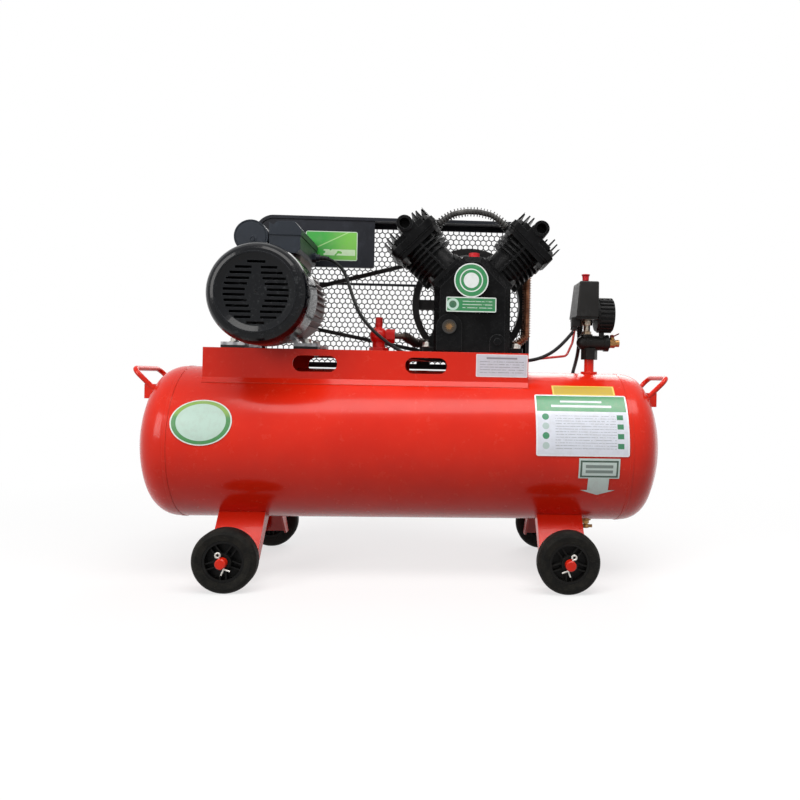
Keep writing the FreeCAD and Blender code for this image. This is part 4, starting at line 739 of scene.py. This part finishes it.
def wire_net():
    """Hexagonal netting of the belt guard, cut to the rounded frame it is welded behind."""
    tree = Tree("wire_net")
    width = mesh_high.x - mesh_low.x
    height = mesh_high.z - mesh_low.z
    pitch = tree.size("Pitch", NET_PITCH)
    rows_apart = tree.math("MULTIPLY", pitch, math.sqrt(3) / 2)
    columns = int(width / NET_PITCH) + 3
    rows = 2 * (int(height / NET_PITCH / math.sqrt(3)) + 2)
    span_x = tree.math("MULTIPLY", pitch, float(columns - 1))
    span_y = tree.math("MULTIPLY", rows_apart, float(rows - 1))
    grid = tree.node("GeometryNodeMeshGrid", None, {"Size X": span_x, "Size Y": span_y,
                                                    "Vertices X": columns, "Vertices Y": rows})
    place = tree.node("GeometryNodeInputPosition")
    split = tree.group.nodes.new("ShaderNodeSeparateXYZ")
    tree.group.links.new(place, split.inputs[0])
    steps_up = tree.math("DIVIDE", split.outputs[1], rows_apart)
    row = tree.math("ROUND", tree.math("ADD", steps_up, 0.5 * (rows - 1)))
    odd = tree.math("MODULO", row, 2.0)
    half_pitch = tree.math("MULTIPLY", pitch, 0.5)
    shift = tree.node("ShaderNodeCombineXYZ", None, {0: tree.math("MULTIPLY", odd, half_pitch)})
    grid = tree.node("GeometryNodeSetPosition", None, {"Geometry": grid, "Offset": shift})
    arm = tree.math("DIVIDE", pitch, math.sqrt(3))
    arms = []
    for angle in (90, 210, 330):
        x = tree.math("MULTIPLY", arm, math.cos(math.radians(angle)))
        y = tree.math("MULTIPLY", arm, math.sin(math.radians(angle)))
        reach = tree.node("ShaderNodeCombineXYZ", None, {0: x, 1: y})
        arms.append(tree.node("GeometryNodeMeshLine", None, {"Count": 2, "Offset": reach}))
    star = tree.node("GeometryNodeJoinGeometry", None, {0: arms})
    net = tree.node("GeometryNodeInstanceOnPoints", None, {"Points": grid, "Instance": star})
    net = tree.node("GeometryNodeRealizeInstances", None, {0: net})
    net = tree.node("GeometryNodeMergeByDistance", None, {"Geometry": net, "Distance": 0.2 * MM})
    # what lies outside the frame's rounded opening, grown by the wires' hold under its border
    hold = 7 * MM
    corner = 35 * MM
    half = Vector((width / 2 + hold - corner, height / 2 + hold - corner, 0.0))
    away = tree.node("ShaderNodeVectorMath", {"operation": "ABSOLUTE"}, {0: place})
    away = tree.node("ShaderNodeVectorMath", {"operation": "SUBTRACT"}, {0: away, 1: half})
    away = tree.node("ShaderNodeVectorMath", {"operation": "MAXIMUM"}, {0: away, 1: (0.0, 0.0, 0.0)})
    length = tree.group.nodes.new("ShaderNodeVectorMath")
    length.operation = "LENGTH"
    tree.group.links.new(away, length.inputs[0])
    outside = tree.math("GREATER_THAN", length.outputs["Value"], corner)
    net = tree.node("GeometryNodeDeleteGeometry", {"domain": "POINT"},
                    {"Geometry": net, "Selection": outside})
    net = tree.node("GeometryNodeMeshToCurve", None, {0: net})
    section = tree.node("GeometryNodeCurvePrimitiveCircle", None,
                        {"Resolution": 6, "Radius": tree.size("Wire radius", NET_WIRE / 2)})
    net = tree.node("GeometryNodeCurveToMesh", None,
                    {"Curve": net, "Profile Curve": section, "Fill Caps": True})
    mesh = tree.mesh(net, material("mesh_wire"), empty_source("guard_net"), "guard_net")
    middle = (mesh_low + mesh_high) / 2
    flat = Matrix.Diagonal((1.0, 1.0, 0.6, 1.0))
    mesh.transform(Matrix.Translation(middle) @ Matrix.Rotation(math.pi / 2, 4, "X") @ flat)
    smooth(mesh, 80)
    net = piece_from(mesh, "guard_net", "machine", "mesh_wire")
    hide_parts("guard_mesh")


def finned_pipe(name, points, slot, bend, core, fin_radius, pitch, node, plain=0.014):
    """Pipe with close thin cooling fins round it, between plain ends."""
    tree = Tree(name)
    fin = tree.size("Fin radius", fin_radius)
    route = tree.inputs.outputs["Geometry"]
    route = tree.node("GeometryNodeFilletCurve", {"mode": "POLY"},
                      {"Curve": route, "Radius": tree.size("Bend radius", bend), "Count": 10})
    circle = tree.node("GeometryNodeCurvePrimitiveCircle", None,
                       {"Resolution": 20, "Radius": tree.size("Pipe radius", core)})
    tube = tree.node("GeometryNodeCurveToMesh", None,
                     {"Curve": route, "Profile Curve": circle, "Fill Caps": True})
    measure = tree.node("GeometryNodeCurveLength", None, {0: route})
    trimmed = tree.node("GeometryNodeTrimCurve", {"mode": "LENGTH"},
                        {"Curve": route, 4: plain, 5: tree.math("SUBTRACT", measure, plain)})
    steps = tree.group.nodes.new("GeometryNodeCurveToPoints")
    steps.mode = "LENGTH"
    tree.group.links.new(trimmed, steps.inputs["Curve"])
    tree.group.links.new(tree.size("Fin pitch", pitch), steps.inputs["Length"])
    disc = tree.node("GeometryNodeMeshCylinder", None,
                     {"Vertices": 20, "Radius": fin, "Depth": pitch * 0.28})
    fins = tree.node("GeometryNodeInstanceOnPoints", None,
                     {"Points": steps.outputs["Points"], "Instance": disc,
                      "Rotation": steps.outputs["Rotation"]})
    whole = tree.node("GeometryNodeJoinGeometry", None, {0: [tube, fins]})
    mesh = tree.mesh(whole, material(slot), path_source(name, points), name)
    smooth(mesh, 40)
    pipe = piece_from(mesh, name, "machine", slot)
    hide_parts(node)


CROSSOVER_POINTS = [(0.0577, 0.014, 0.7070), (0.0705, 0.014, 0.7195), (0.0900, 0.014, 0.7312),
                    (0.1160, 0.014, 0.7366), (0.1420, 0.014, 0.7366), (0.1680, 0.014, 0.7312),
                    (0.1875, 0.014, 0.7195), (0.2003, 0.014, 0.7070)]
DISCHARGE_POINTS = [(0.25345, 0.065, 0.67445), (0.25345, 0.078, 0.67445), (0.25345, 0.077, 0.482),
                    (0.22745, 0.074, 0.461), (0.054, 0.078, 0.461), (0.014, 0.040, 0.462),
                    (-0.004, 0.0, 0.473), (-0.0258, 0.0, 0.473)]


def make_pipes():
    finned_pipe("crossover_fins", CROSSOVER_POINTS, "pipe_black", 0.03, 5.6 * MM, 9.8 * MM, 6.4 * MM,
                "crossover_pipe", 0.004)
    finned_pipe("discharge_fins", DISCHARGE_POINTS, "pipe_copper", 0.012, 5.6 * MM, 9.4 * MM, 5.4 * MM,
                "discharge_pipe", 0.012)


# ---------------------------------------------------------------- printed patches
def printed(name, paint):
    """A printed film: paint(finish, u, v) returns the colour, u and v in metres from its middle."""
    f = Finish(name, coat_weight=0.35, coat_roughness=0.12)
    place = f.node("ShaderNodeUVMap", {"uv_map": "film"}).outputs[0]
    tone = paint(f, f.axis("X", place), f.axis("Y", place))
    grime = f.noise(90.0, 5.0, 0.7).over(0.54, 0.24)
    tone = f.mix(grime * 0.12, tone, srgb(150, 140, 126))
    f.set(base_color=tone, roughness=f.noise(30.0) * 0.16 + 0.24)
    f.bump(f.noise(150.0, 2.0), 0.0002)
    return f.material


WHITE = srgb(222, 226, 236)
GREEN = srgb(22, 134, 74)
INK = srgb(96, 102, 112)


def rounded_rows(half_u, half_v, corner, flat_steps=14):
    """Rows of a rounded rectangle: (v, left u, right u)."""
    rows = []
    for i in range(7):
        a = math.pi / 2 * i / 6
        v = half_v - corner + corner * math.cos(a)
        reach = half_u - corner + corner * math.sin(a)
        rows.append((v, -reach, reach))
    low = [(-v, left, right) for v, left, right in reversed(rows)]
    between = [(half_v - corner) * (1 - 2 * (i + 1) / (flat_steps + 1)) for i in range(flat_steps)]
    return rows + [(v, -half_u, half_u) for v in between] + low


def oval_rows(half_u, half_v, steps=24):
    rows = []
    for i in range(steps + 1):
        a = math.pi * i / steps
        reach = max(half_u * math.sin(a), 0.4 * MM)
        rows.append((half_v * math.cos(a), -reach, reach))
    return rows


def arrow_rows(half_u, top, shoulder, stem, head, head_v, tip):
    """A tab with a stem and an arrow head that points down."""
    rows = [(top - i * (top - shoulder) / 5, -half_u, half_u) for i in range(6)]
    rows += [(shoulder - 0.05 * MM - i * (shoulder - head_v) / 5, -stem, stem) for i in range(6)]
    rows += [(head_v - 0.1 * MM - i * (head_v - tip) / 6, -head * (1 - i / 6) - 0.3 * MM,
              head * (1 - i / 6) + 0.3 * MM) for i in range(7)]
    return rows


FILM_THICK = 0.35 * MM


def film(name, rows, put, finish, columns):
    """Thin printed film whose outline is a list of rows, laid where put(u, v, height) says."""
    bm = bmesh.new()
    faces = []
    for height in (FILM_THICK, 0.0):
        grid = []
        for v, left, right in rows:
            line = []
            for i in range(columns + 1):
                u = left + (right - left) * i / columns
                line.append((bm.verts.new(put(u, v, height)), (u, v)))
            grid.append(line)
        for upper, lower in zip(grid, grid[1:]):
            for i in range(columns):
                corners = [lower[i], lower[i + 1], upper[i + 1], upper[i]]
                if height == 0.0:
                    corners.reverse()
                faces.append((bm.faces.new([c[0] for c in corners]), [c[1] for c in corners]))
        if height:
            top = grid
    layer = bm.loops.layers.uv.new("film")
    for face, places in faces:
        for loop, uv in zip(face.loops, places):
            loop[layer].uv = uv
    loop_top = [row[0][0] for row in top] + [c[0] for c in top[-1][1:]]
    loop_top += [row[-1][0] for row in reversed(top[:-1])] + [c[0] for c in reversed(top[0][1:-1])]
    loop_low = [row[0][0] for row in grid] + [c[0] for c in grid[-1][1:]]
    loop_low += [row[-1][0] for row in reversed(grid[:-1])] + [c[0] for c in reversed(grid[0][1:-1])]
    count = len(loop_top)
    for i in range(count):
        j = (i + 1) % count
        bm.faces.new((loop_top[i], loop_low[i], loop_low[j], loop_top[j]))
    bmesh.ops.recalc_face_normals(bm, faces=bm.faces)
    mesh = mesh_of(bm, name)
    smooth(mesh, 30)
    return piece_from(mesh, name, "machine", None, finish)


def on_tank(x, angle):
    """Places on the receiver's front wall, v counted along the curve from this angle."""
    def put(u, v, height):
        turn = math.radians(angle) + v / TANK_RADIUS
        reach = TANK_RADIUS + 0.15 * MM + height
        return x + u, -reach * math.cos(turn), TANK_Z + reach * math.sin(turn)
    return put


def on_front(x, y, z):
    """Places on a flat wall that faces the front."""
    def put(u, v, height):
        return x + u, y - 0.1 * MM - height, z + v
    return put


def lines(f, v, first, gap, count, thick):
    """Thin level rules, as a mask."""
    mask = v.within(first, thick / 2)
    for i in range(1, count):
        mask = mask + v.within(first - i * gap, thick / 2)
    return mask


def instruction_print(f, u, v):
    """White table with a plain green head, ruled rows and round bullets."""
    tone = f.mix(v.over(0.024), WHITE, GREEN)
    border = 1 - u.within(0.0, 0.0855) * v.within(0.0, 0.0595)
    rules = lines(f, v, 0.0145, 0.0052, 13, 0.0009) * u.within(0.006, 0.058)
    gaps = f.noise(420.0, 1.0, 0.5).over(0.42)
    tone = f.mix(rules * gaps * v.under(0.022) * 0.75, tone, INK)
    bars = (v.within(0.046, 0.0022) * u.within(0.0, 0.04) + v.within(0.0355, 0.0026) * u.within(0.0, 0.058))
    tone = f.mix(bars * 0.85, tone, WHITE)
    for i in range(4):
        dot = ((u + 0.070) * (u + 0.070) + (v - 0.0125 + i * 0.0185) * (v - 0.0125 + i * 0.0185))
        tone = f.mix(dot.under(0.0065 ** 2), tone, srgb(52, 138, 96) if i % 2 == 0 else srgb(180, 200, 196))
        square = u.within(0.072, 0.006) * v.within(0.0125 - i * 0.0185, 0.005)
        tone = f.mix(square, tone, srgb(46, 128, 88))
    return f.mix(border, tone, srgb(236, 238, 242))


def arrow_print(f, u, v):
    outer = u.within(0.0, 0.036) * v.within(0.014, 0.0165)
    inner = u.within(0.0, 0.0325) * v.within(0.014, 0.013)
    frame_line = outer - inner
    tone = f.mix(frame_line, srgb(206, 222, 216), srgb(34, 70, 54))
    bars = (v.within(0.019, 0.003) + v.within(0.009, 0.003)) * u.within(0.0, 0.026)
    return f.mix(bars * 0.8, tone, srgb(70, 92, 84))


def gold_print(f, u, v):
    return f.mix(v.within(0.0, 0.0115) * u.within(0.0, 0.0575), srgb(232, 206, 92), srgb(196, 164, 40))


def rating_print(f, u, v):
    """Bare rating plate: ruled rows on a silver-white ground."""
    rules = lines(f, v, 0.0075, 0.0052, 5, 0.0011) * u.within(0.0, 0.043)
    gaps = f.noise(380.0, 1.0, 0.5).over(0.44)
    tone = f.mix(rules * gaps * 0.7, srgb(204, 204, 214), srgb(80, 76, 90))
    bar = v.within(0.0145, 0.0018) * u.within(0.0, 0.03)
    tone = f.mix(bar * 0.7, tone, srgb(90, 84, 96))
    edge = 1 - u.within(0.0, 0.0485) * v.within(0.0, 0.0205)
    return f.mix(edge, tone, srgb(232, 226, 230))


def swirl_print(f, u, v):
    """Plain oval patch, two greens inside a pale border."""
    reach = (u * u / 0.0031 + v * v / 0.0019)
    tone = f.mix(reach.over(0.66, 0.02), srgb(186, 214, 200), srgb(48, 132, 62))
    tone = f.mix(v.over(0.012, 0.014) * reach.over(0.66, 0.02) * 0.8, tone, srgb(140, 178, 60))
    return f.mix(reach.over(0.92, 0.02), tone, srgb(222, 232, 226))


def disc_print(f, u, v):
    reach = u * u + v * v
    tone = f.mix(reach.over(0.0205 ** 2), srgb(24, 132, 72), srgb(220, 232, 226))
    tone = f.mix(reach.over(0.0228 ** 2), tone, srgb(24, 132, 72))
    tone = f.mix(reach.over(0.0312 ** 2), tone, srgb(230, 236, 234))
    return f.mix(reach.under(0.0150 ** 2), tone, srgb(230, 236, 234))


def strip_print(f, u, v):
    bullet = (u + 0.036) * (u + 0.036) + v * v
    rules = lines(f, v, 0.0062, 0.0062, 3, 0.0016) * u.within(0.012, 0.029)
    gaps = f.noise(360.0, 1.0, 0.5).over(0.4)
    tone = f.mix(rules * gaps * 0.8, srgb(20, 128, 70), srgb(206, 226, 214))
    tone = f.mix(1 - u.within(0.0, 0.0470) * v.within(0.0, 0.0125), tone, srgb(222, 232, 226))
    tone = f.mix(bullet.under(0.0118 ** 2), tone, srgb(190, 220, 206))
    return f.mix(bullet.under(0.0072 ** 2), tone, srgb(30, 96, 62))


def panel_print(f, u, v):
    tone = f.mix(u.over(0.012, 0.07), srgb(46, 160, 52), srgb(112, 190, 66))
    sheen = (v - u * 0.5 - 0.012).size().under(0.0012)
    tone = f.mix(sheen * 0.6, tone, srgb(190, 226, 160))
    bars = v.within(-0.014, 0.0065) * u.within(0.017, 0.034) * f.noise(90.0, 0.0).over(0.36)
    tone = f.mix(bars * 0.85, tone, srgb(206, 232, 196))
    return f.mix(1 - u.within(0.0, 0.0540) * v.within(0.0, 0.0300), tone, srgb(206, 226, 206))


WEB_Y = -85 * MM                       # front face of the base plate's folded edge


def make_labels():
    # name, outline, where it lies, print, columns of its mesh
    labels = [
        ("instruction", rounded_rows(0.0885, 0.0625, 0.004), on_tank(0.338, 21.2), instruction_print, 24),
        ("arrow", arrow_rows(0.0390, 0.0345, -0.0045, 0.0200, 0.0330, -0.0300, -0.0415),
         on_tank(0.3700, -17.0), arrow_print, 16),
        ("gold", rounded_rows(0.0610, 0.0140, 0.0012, 6), on_tank(0.3465, 50.0), gold_print, 16),
        ("swirl", oval_rows(0.0560, 0.0440), on_tank(-0.3680, 18.0), swirl_print, 20),
        ("rating", rounded_rows(0.0505, 0.0222, 0.0022, 6), on_front(0.1880, WEB_Y, 0.4150),
         rating_print, 16),
        ("disc", oval_rows(0.0336, 0.0336), on_front(0.1255, case_low.y, 0.5810), disc_print, 16),
        ("strip", rounded_rows(0.0490, 0.0145, 0.003, 6), on_front(0.1262, case_low.y, 0.5335),
         strip_print, 16),
        ("panel", rounded_rows(0.0555, 0.0315, 0.004, 8), on_front(-0.1725, panel_low.y, 0.6715),
         panel_print, 16)]
    for name, rows, put, paint, columns in labels:
        film(name + "_film", rows, put, printed(name + "_print", paint), columns)


# ---------------------------------------------------------------- gauge face and sight glass
DIAL_RADIUS = 28.4 * MM
DIAL_X = boot_high.x - 6.8 * MM
DIAL_SWEEP = math.radians(270)


def disc(name, x0, x1, finish):
    """Flat round plate of the gauge between two places along X, with a flat uv map."""
    bm = bmesh.new()
    steps = 48
    rims = []
    for x in (x0, x1):
        rims.append([bm.verts.new((x, GAUGE.y + DIAL_RADIUS * math.sin(2 * math.pi * i / steps),
                                   GAUGE.z + DIAL_RADIUS * math.cos(2 * math.pi * i / steps)))
                     for i in range(steps)])
    bm.faces.new(rims[0])
    bm.faces.new(rims[1])
    for i in range(steps):
        j = (i + 1) % steps
        bm.faces.new((rims[0][i], rims[0][j], rims[1][j], rims[1][i]))
    bmesh.ops.recalc_face_normals(bm, faces=bm.faces)
    layer = bm.loops.layers.uv.new("film")
    for face in bm.faces:
        for loop in face.loops:
            loop[layer].uv = (loop.vert.co.y - GAUGE.y, loop.vert.co.z - GAUGE.z)
    mesh = mesh_of(bm, name)
    smooth(mesh, 30)
    return piece_from(mesh, name, "machine", None, finish)


def dial_print(f, u, v):
    """White dial with a ring of plain ticks, open at the bottom."""
    reach = (u * u + v * v).math("SQRT")
    turn = u.math("ARCTAN2", v).size()
    beat = (u.math("ARCTAN2", v) * (1 / math.radians(9)) + 100.5).math("FRACT")
    tick = beat.within(0.5, 0.09) * reach.within(0.0252, 0.0014)
    ring_line = reach.within(0.0268, 0.0003)
    marks = (tick + ring_line) * turn.under(DIAL_SWEEP / 2 + 0.02)
    return f.mix(marks, srgb(232, 232, 226), srgb(20, 20, 20))


def dial_numbers():
    """Plain numbers round the dial, made as one thin mesh."""
    bm = bmesh.new()
    for step in range(7):
        curve = bpy.data.curves.new("number", "FONT")
        curve.body = str(2 * step)
        curve.size = 6.2 * MM
        curve.align_x, curve.align_y = "CENTER", "CENTER"
        curve.resolution_u = 3
        source = bpy.data.objects.new("number", curve)
        mesh = bpy.data.meshes.new_from_object(source)
        angle = DIAL_SWEEP * (step / 6 - 0.5)
        flat = Matrix(((0, 0, 1, DIAL_X + 0.15 * MM), (1, 0, 0, GAUGE.y + 19.4 * MM * math.sin(angle)),
                       (0, 1, 0, GAUGE.z + 19.4 * MM * math.cos(angle)), (0, 0, 0, 1)))
        mesh.transform(flat)
        bm.from_mesh(mesh)
        bpy.data.objects.remove(source)
        bpy.data.curves.remove(curve)
    mesh = mesh_of(bm, "dial_numbers")
    piece_from(mesh, "dial_numbers", "machine", "gauge_black")


def make_gauge():
    disc("gauge_dial", DIAL_X - 0.15 * MM, DIAL_X, printed("dial_print", dial_print))
    dial_numbers()
    clear = Finish("clear_lens", roughness=0.03, ior=1.49, transmission_weight=1.0)
    clear.set(base_color=clear.mix(clear.noise(60.0), (0.98, 0.98, 0.98, 1.0), (0.93, 0.94, 0.94, 1.0)))
    disc("gauge_lens", boot_high.x - 1.8 * MM, boot_high.x - 0.8 * MM, clear.material)


def make_sight_star():
    """Pierced brass reflector behind the oil window."""
    low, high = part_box("sight_glass")
    middle = (low + high) / 2
    tips = 12
    bm = bmesh.new()
    front, back = [], []
    for y, row in ((low.y + 3.4 * MM, front), (low.y + 3.9 * MM, back)):
        for i in range(2 * tips):
            reach = 8.2 * MM if i % 2 == 0 else 4.0 * MM
            angle = math.pi * i / tips
            row.append(bm.verts.new((middle.x + reach * math.cos(angle), y,
                                     middle.z + reach * math.sin(angle))))
    bm.faces.new(front)
    bm.faces.new(back[::-1])
    for i in range(2 * tips):
        j = (i + 1) % (2 * tips)
        bm.faces.new((front[i], back[i], back[j], front[j]))
    bmesh.ops.recalc_face_normals(bm, faces=bm.faces)
    mesh = mesh_of(bm, "sight_star")
    piece_from(mesh, "sight_star", "machine", "brass")


# ---------------------------------------------------------------- stage
def make_stage():
    bm = bmesh.new()
    bmesh.ops.create_grid(bm, x_segments=2, y_segments=2, size=14.0)
    mesh = mesh_of(bm, "floor")
    floor = bpy.data.objects.new("floor", mesh)
    scene.collection.objects.link(floor)
    f = Finish("floor_pale", roughness=0.9, specular_ior_level=0.1)
    f.set(base_color=f.mix(f.noise(3.0) * 0.3, srgb(132, 132, 132), srgb(124, 124, 126)))
    rays = f.node("ShaderNodeLightPath")
    seen = f.node("ShaderNodeMath", {"operation": "MAXIMUM"}, {0: rays.outputs["Is Camera Ray"],
                                                               1: rays.outputs["Is Glossy Ray"]})
    seen = f.node("ShaderNodeMath", {"operation": "MAXIMUM"}, {0: seen.outputs[0],
                                                               1: rays.outputs["Is Transmission Ray"]})
    pale = f.node("ShaderNodeEmission", None, {"Color": (1.0, 1.0, 1.0, 1.0), "Strength": 0.66})
    matt = f.node("ShaderNodeBsdfDiffuse", None, {"Color": (0.32, 0.32, 0.32, 1.0)})
    near = f.node("ShaderNodeAddShader", None, {0: pale.outputs[0], 1: matt.outputs[0]})
    white = f.node("ShaderNodeEmission", None, {"Color": (1.0, 1.0, 1.0, 1.0), "Strength": 1.0})
    distance = f.node("ShaderNodeVectorMath", {"operation": "LENGTH"}, {0: f.place})
    far = Value(f, distance.outputs["Value"]).over(1.1, 1.2)
    shown = f.node("ShaderNodeMixShader", None, {0: far, 1: near.outputs[0], 2: white.outputs[0]})
    whole = f.node("ShaderNodeMixShader", None, {0: seen.outputs[0], 1: f.shader.outputs[0],
                                                 2: shown.outputs[0]})
    f.tree.links.new(whole.outputs[0], f.output.inputs[0])
    floor.data.materials.append(f.material)


def make_light():
    world = bpy.data.worlds.new("studio")
    scene.world = world
    world.use_nodes = True
    tree = world.node_tree
    tree.nodes.clear()
    rays = tree.nodes.new("ShaderNodeLightPath")
    shown = rays.outputs["Is Camera Ray"]
    for kind in ("Is Glossy Ray", "Is Transmission Ray"):
        seen = tree.nodes.new("ShaderNodeMath")
        seen.operation = "MAXIMUM"
        tree.links.new(shown, seen.inputs[0])
        tree.links.new(rays.outputs[kind], seen.inputs[1])
        shown = seen.outputs[0]
    soft = tree.nodes.new("ShaderNodeBackground")
    soft.inputs["Strength"].default_value = 0.36
    white = tree.nodes.new("ShaderNodeBackground")
    white.inputs["Color"].default_value = (1.0, 1.0, 1.0, 1.0)
    soft.inputs["Color"].default_value = (0.95, 0.97, 1.0, 1.0)
    mix = tree.nodes.new("ShaderNodeMixShader")
    out = tree.nodes.new("ShaderNodeOutputWorld")
    tree.links.new(shown, mix.inputs[0])
    tree.links.new(soft.outputs[0], mix.inputs[1])
    tree.links.new(white.outputs[0], mix.inputs[2])
    tree.links.new(mix.outputs[0], out.inputs[0])
    # name, where it is, what it points at, width, depth, power
    softboxes = [("overhead", (0.35, -1.0, 2.3), (0.1, 0.0, 0.4), 2.6, 0.9, 46.0),
                 ("front_left", (-1.9, -2.0, 1.3), (0.0, 0.0, 0.35), 1.0, 1.4, 30.0),
                 ("behind", (0.5, 2.2, 1.7), (0.0, 0.0, 0.5), 2.2, 1.2, 30.0)]
    for name, at, towards, width, depth, power in softboxes:
        lamp = bpy.data.lights.new(name, "AREA")
        lamp.shape = "RECTANGLE"
        lamp.size = width
        lamp.size_y = depth
        lamp.energy = power
        lamp.color = (1.0, 0.98, 0.96)
        holder = bpy.data.objects.new(name, lamp)
        scene.collection.objects.link(holder)
        turn = (Vector(towards) - Vector(at)).to_track_quat("-Z", "Y").to_matrix().to_4x4()
        holder.matrix_world = Matrix.Translation(at) @ turn


scene.view_settings.view_transform = "Standard"
dress_frame()
make_cords()
wire_net()
make_pipes()
make_labels()
make_gauge()
make_sight_star()
make_stage()
make_light()
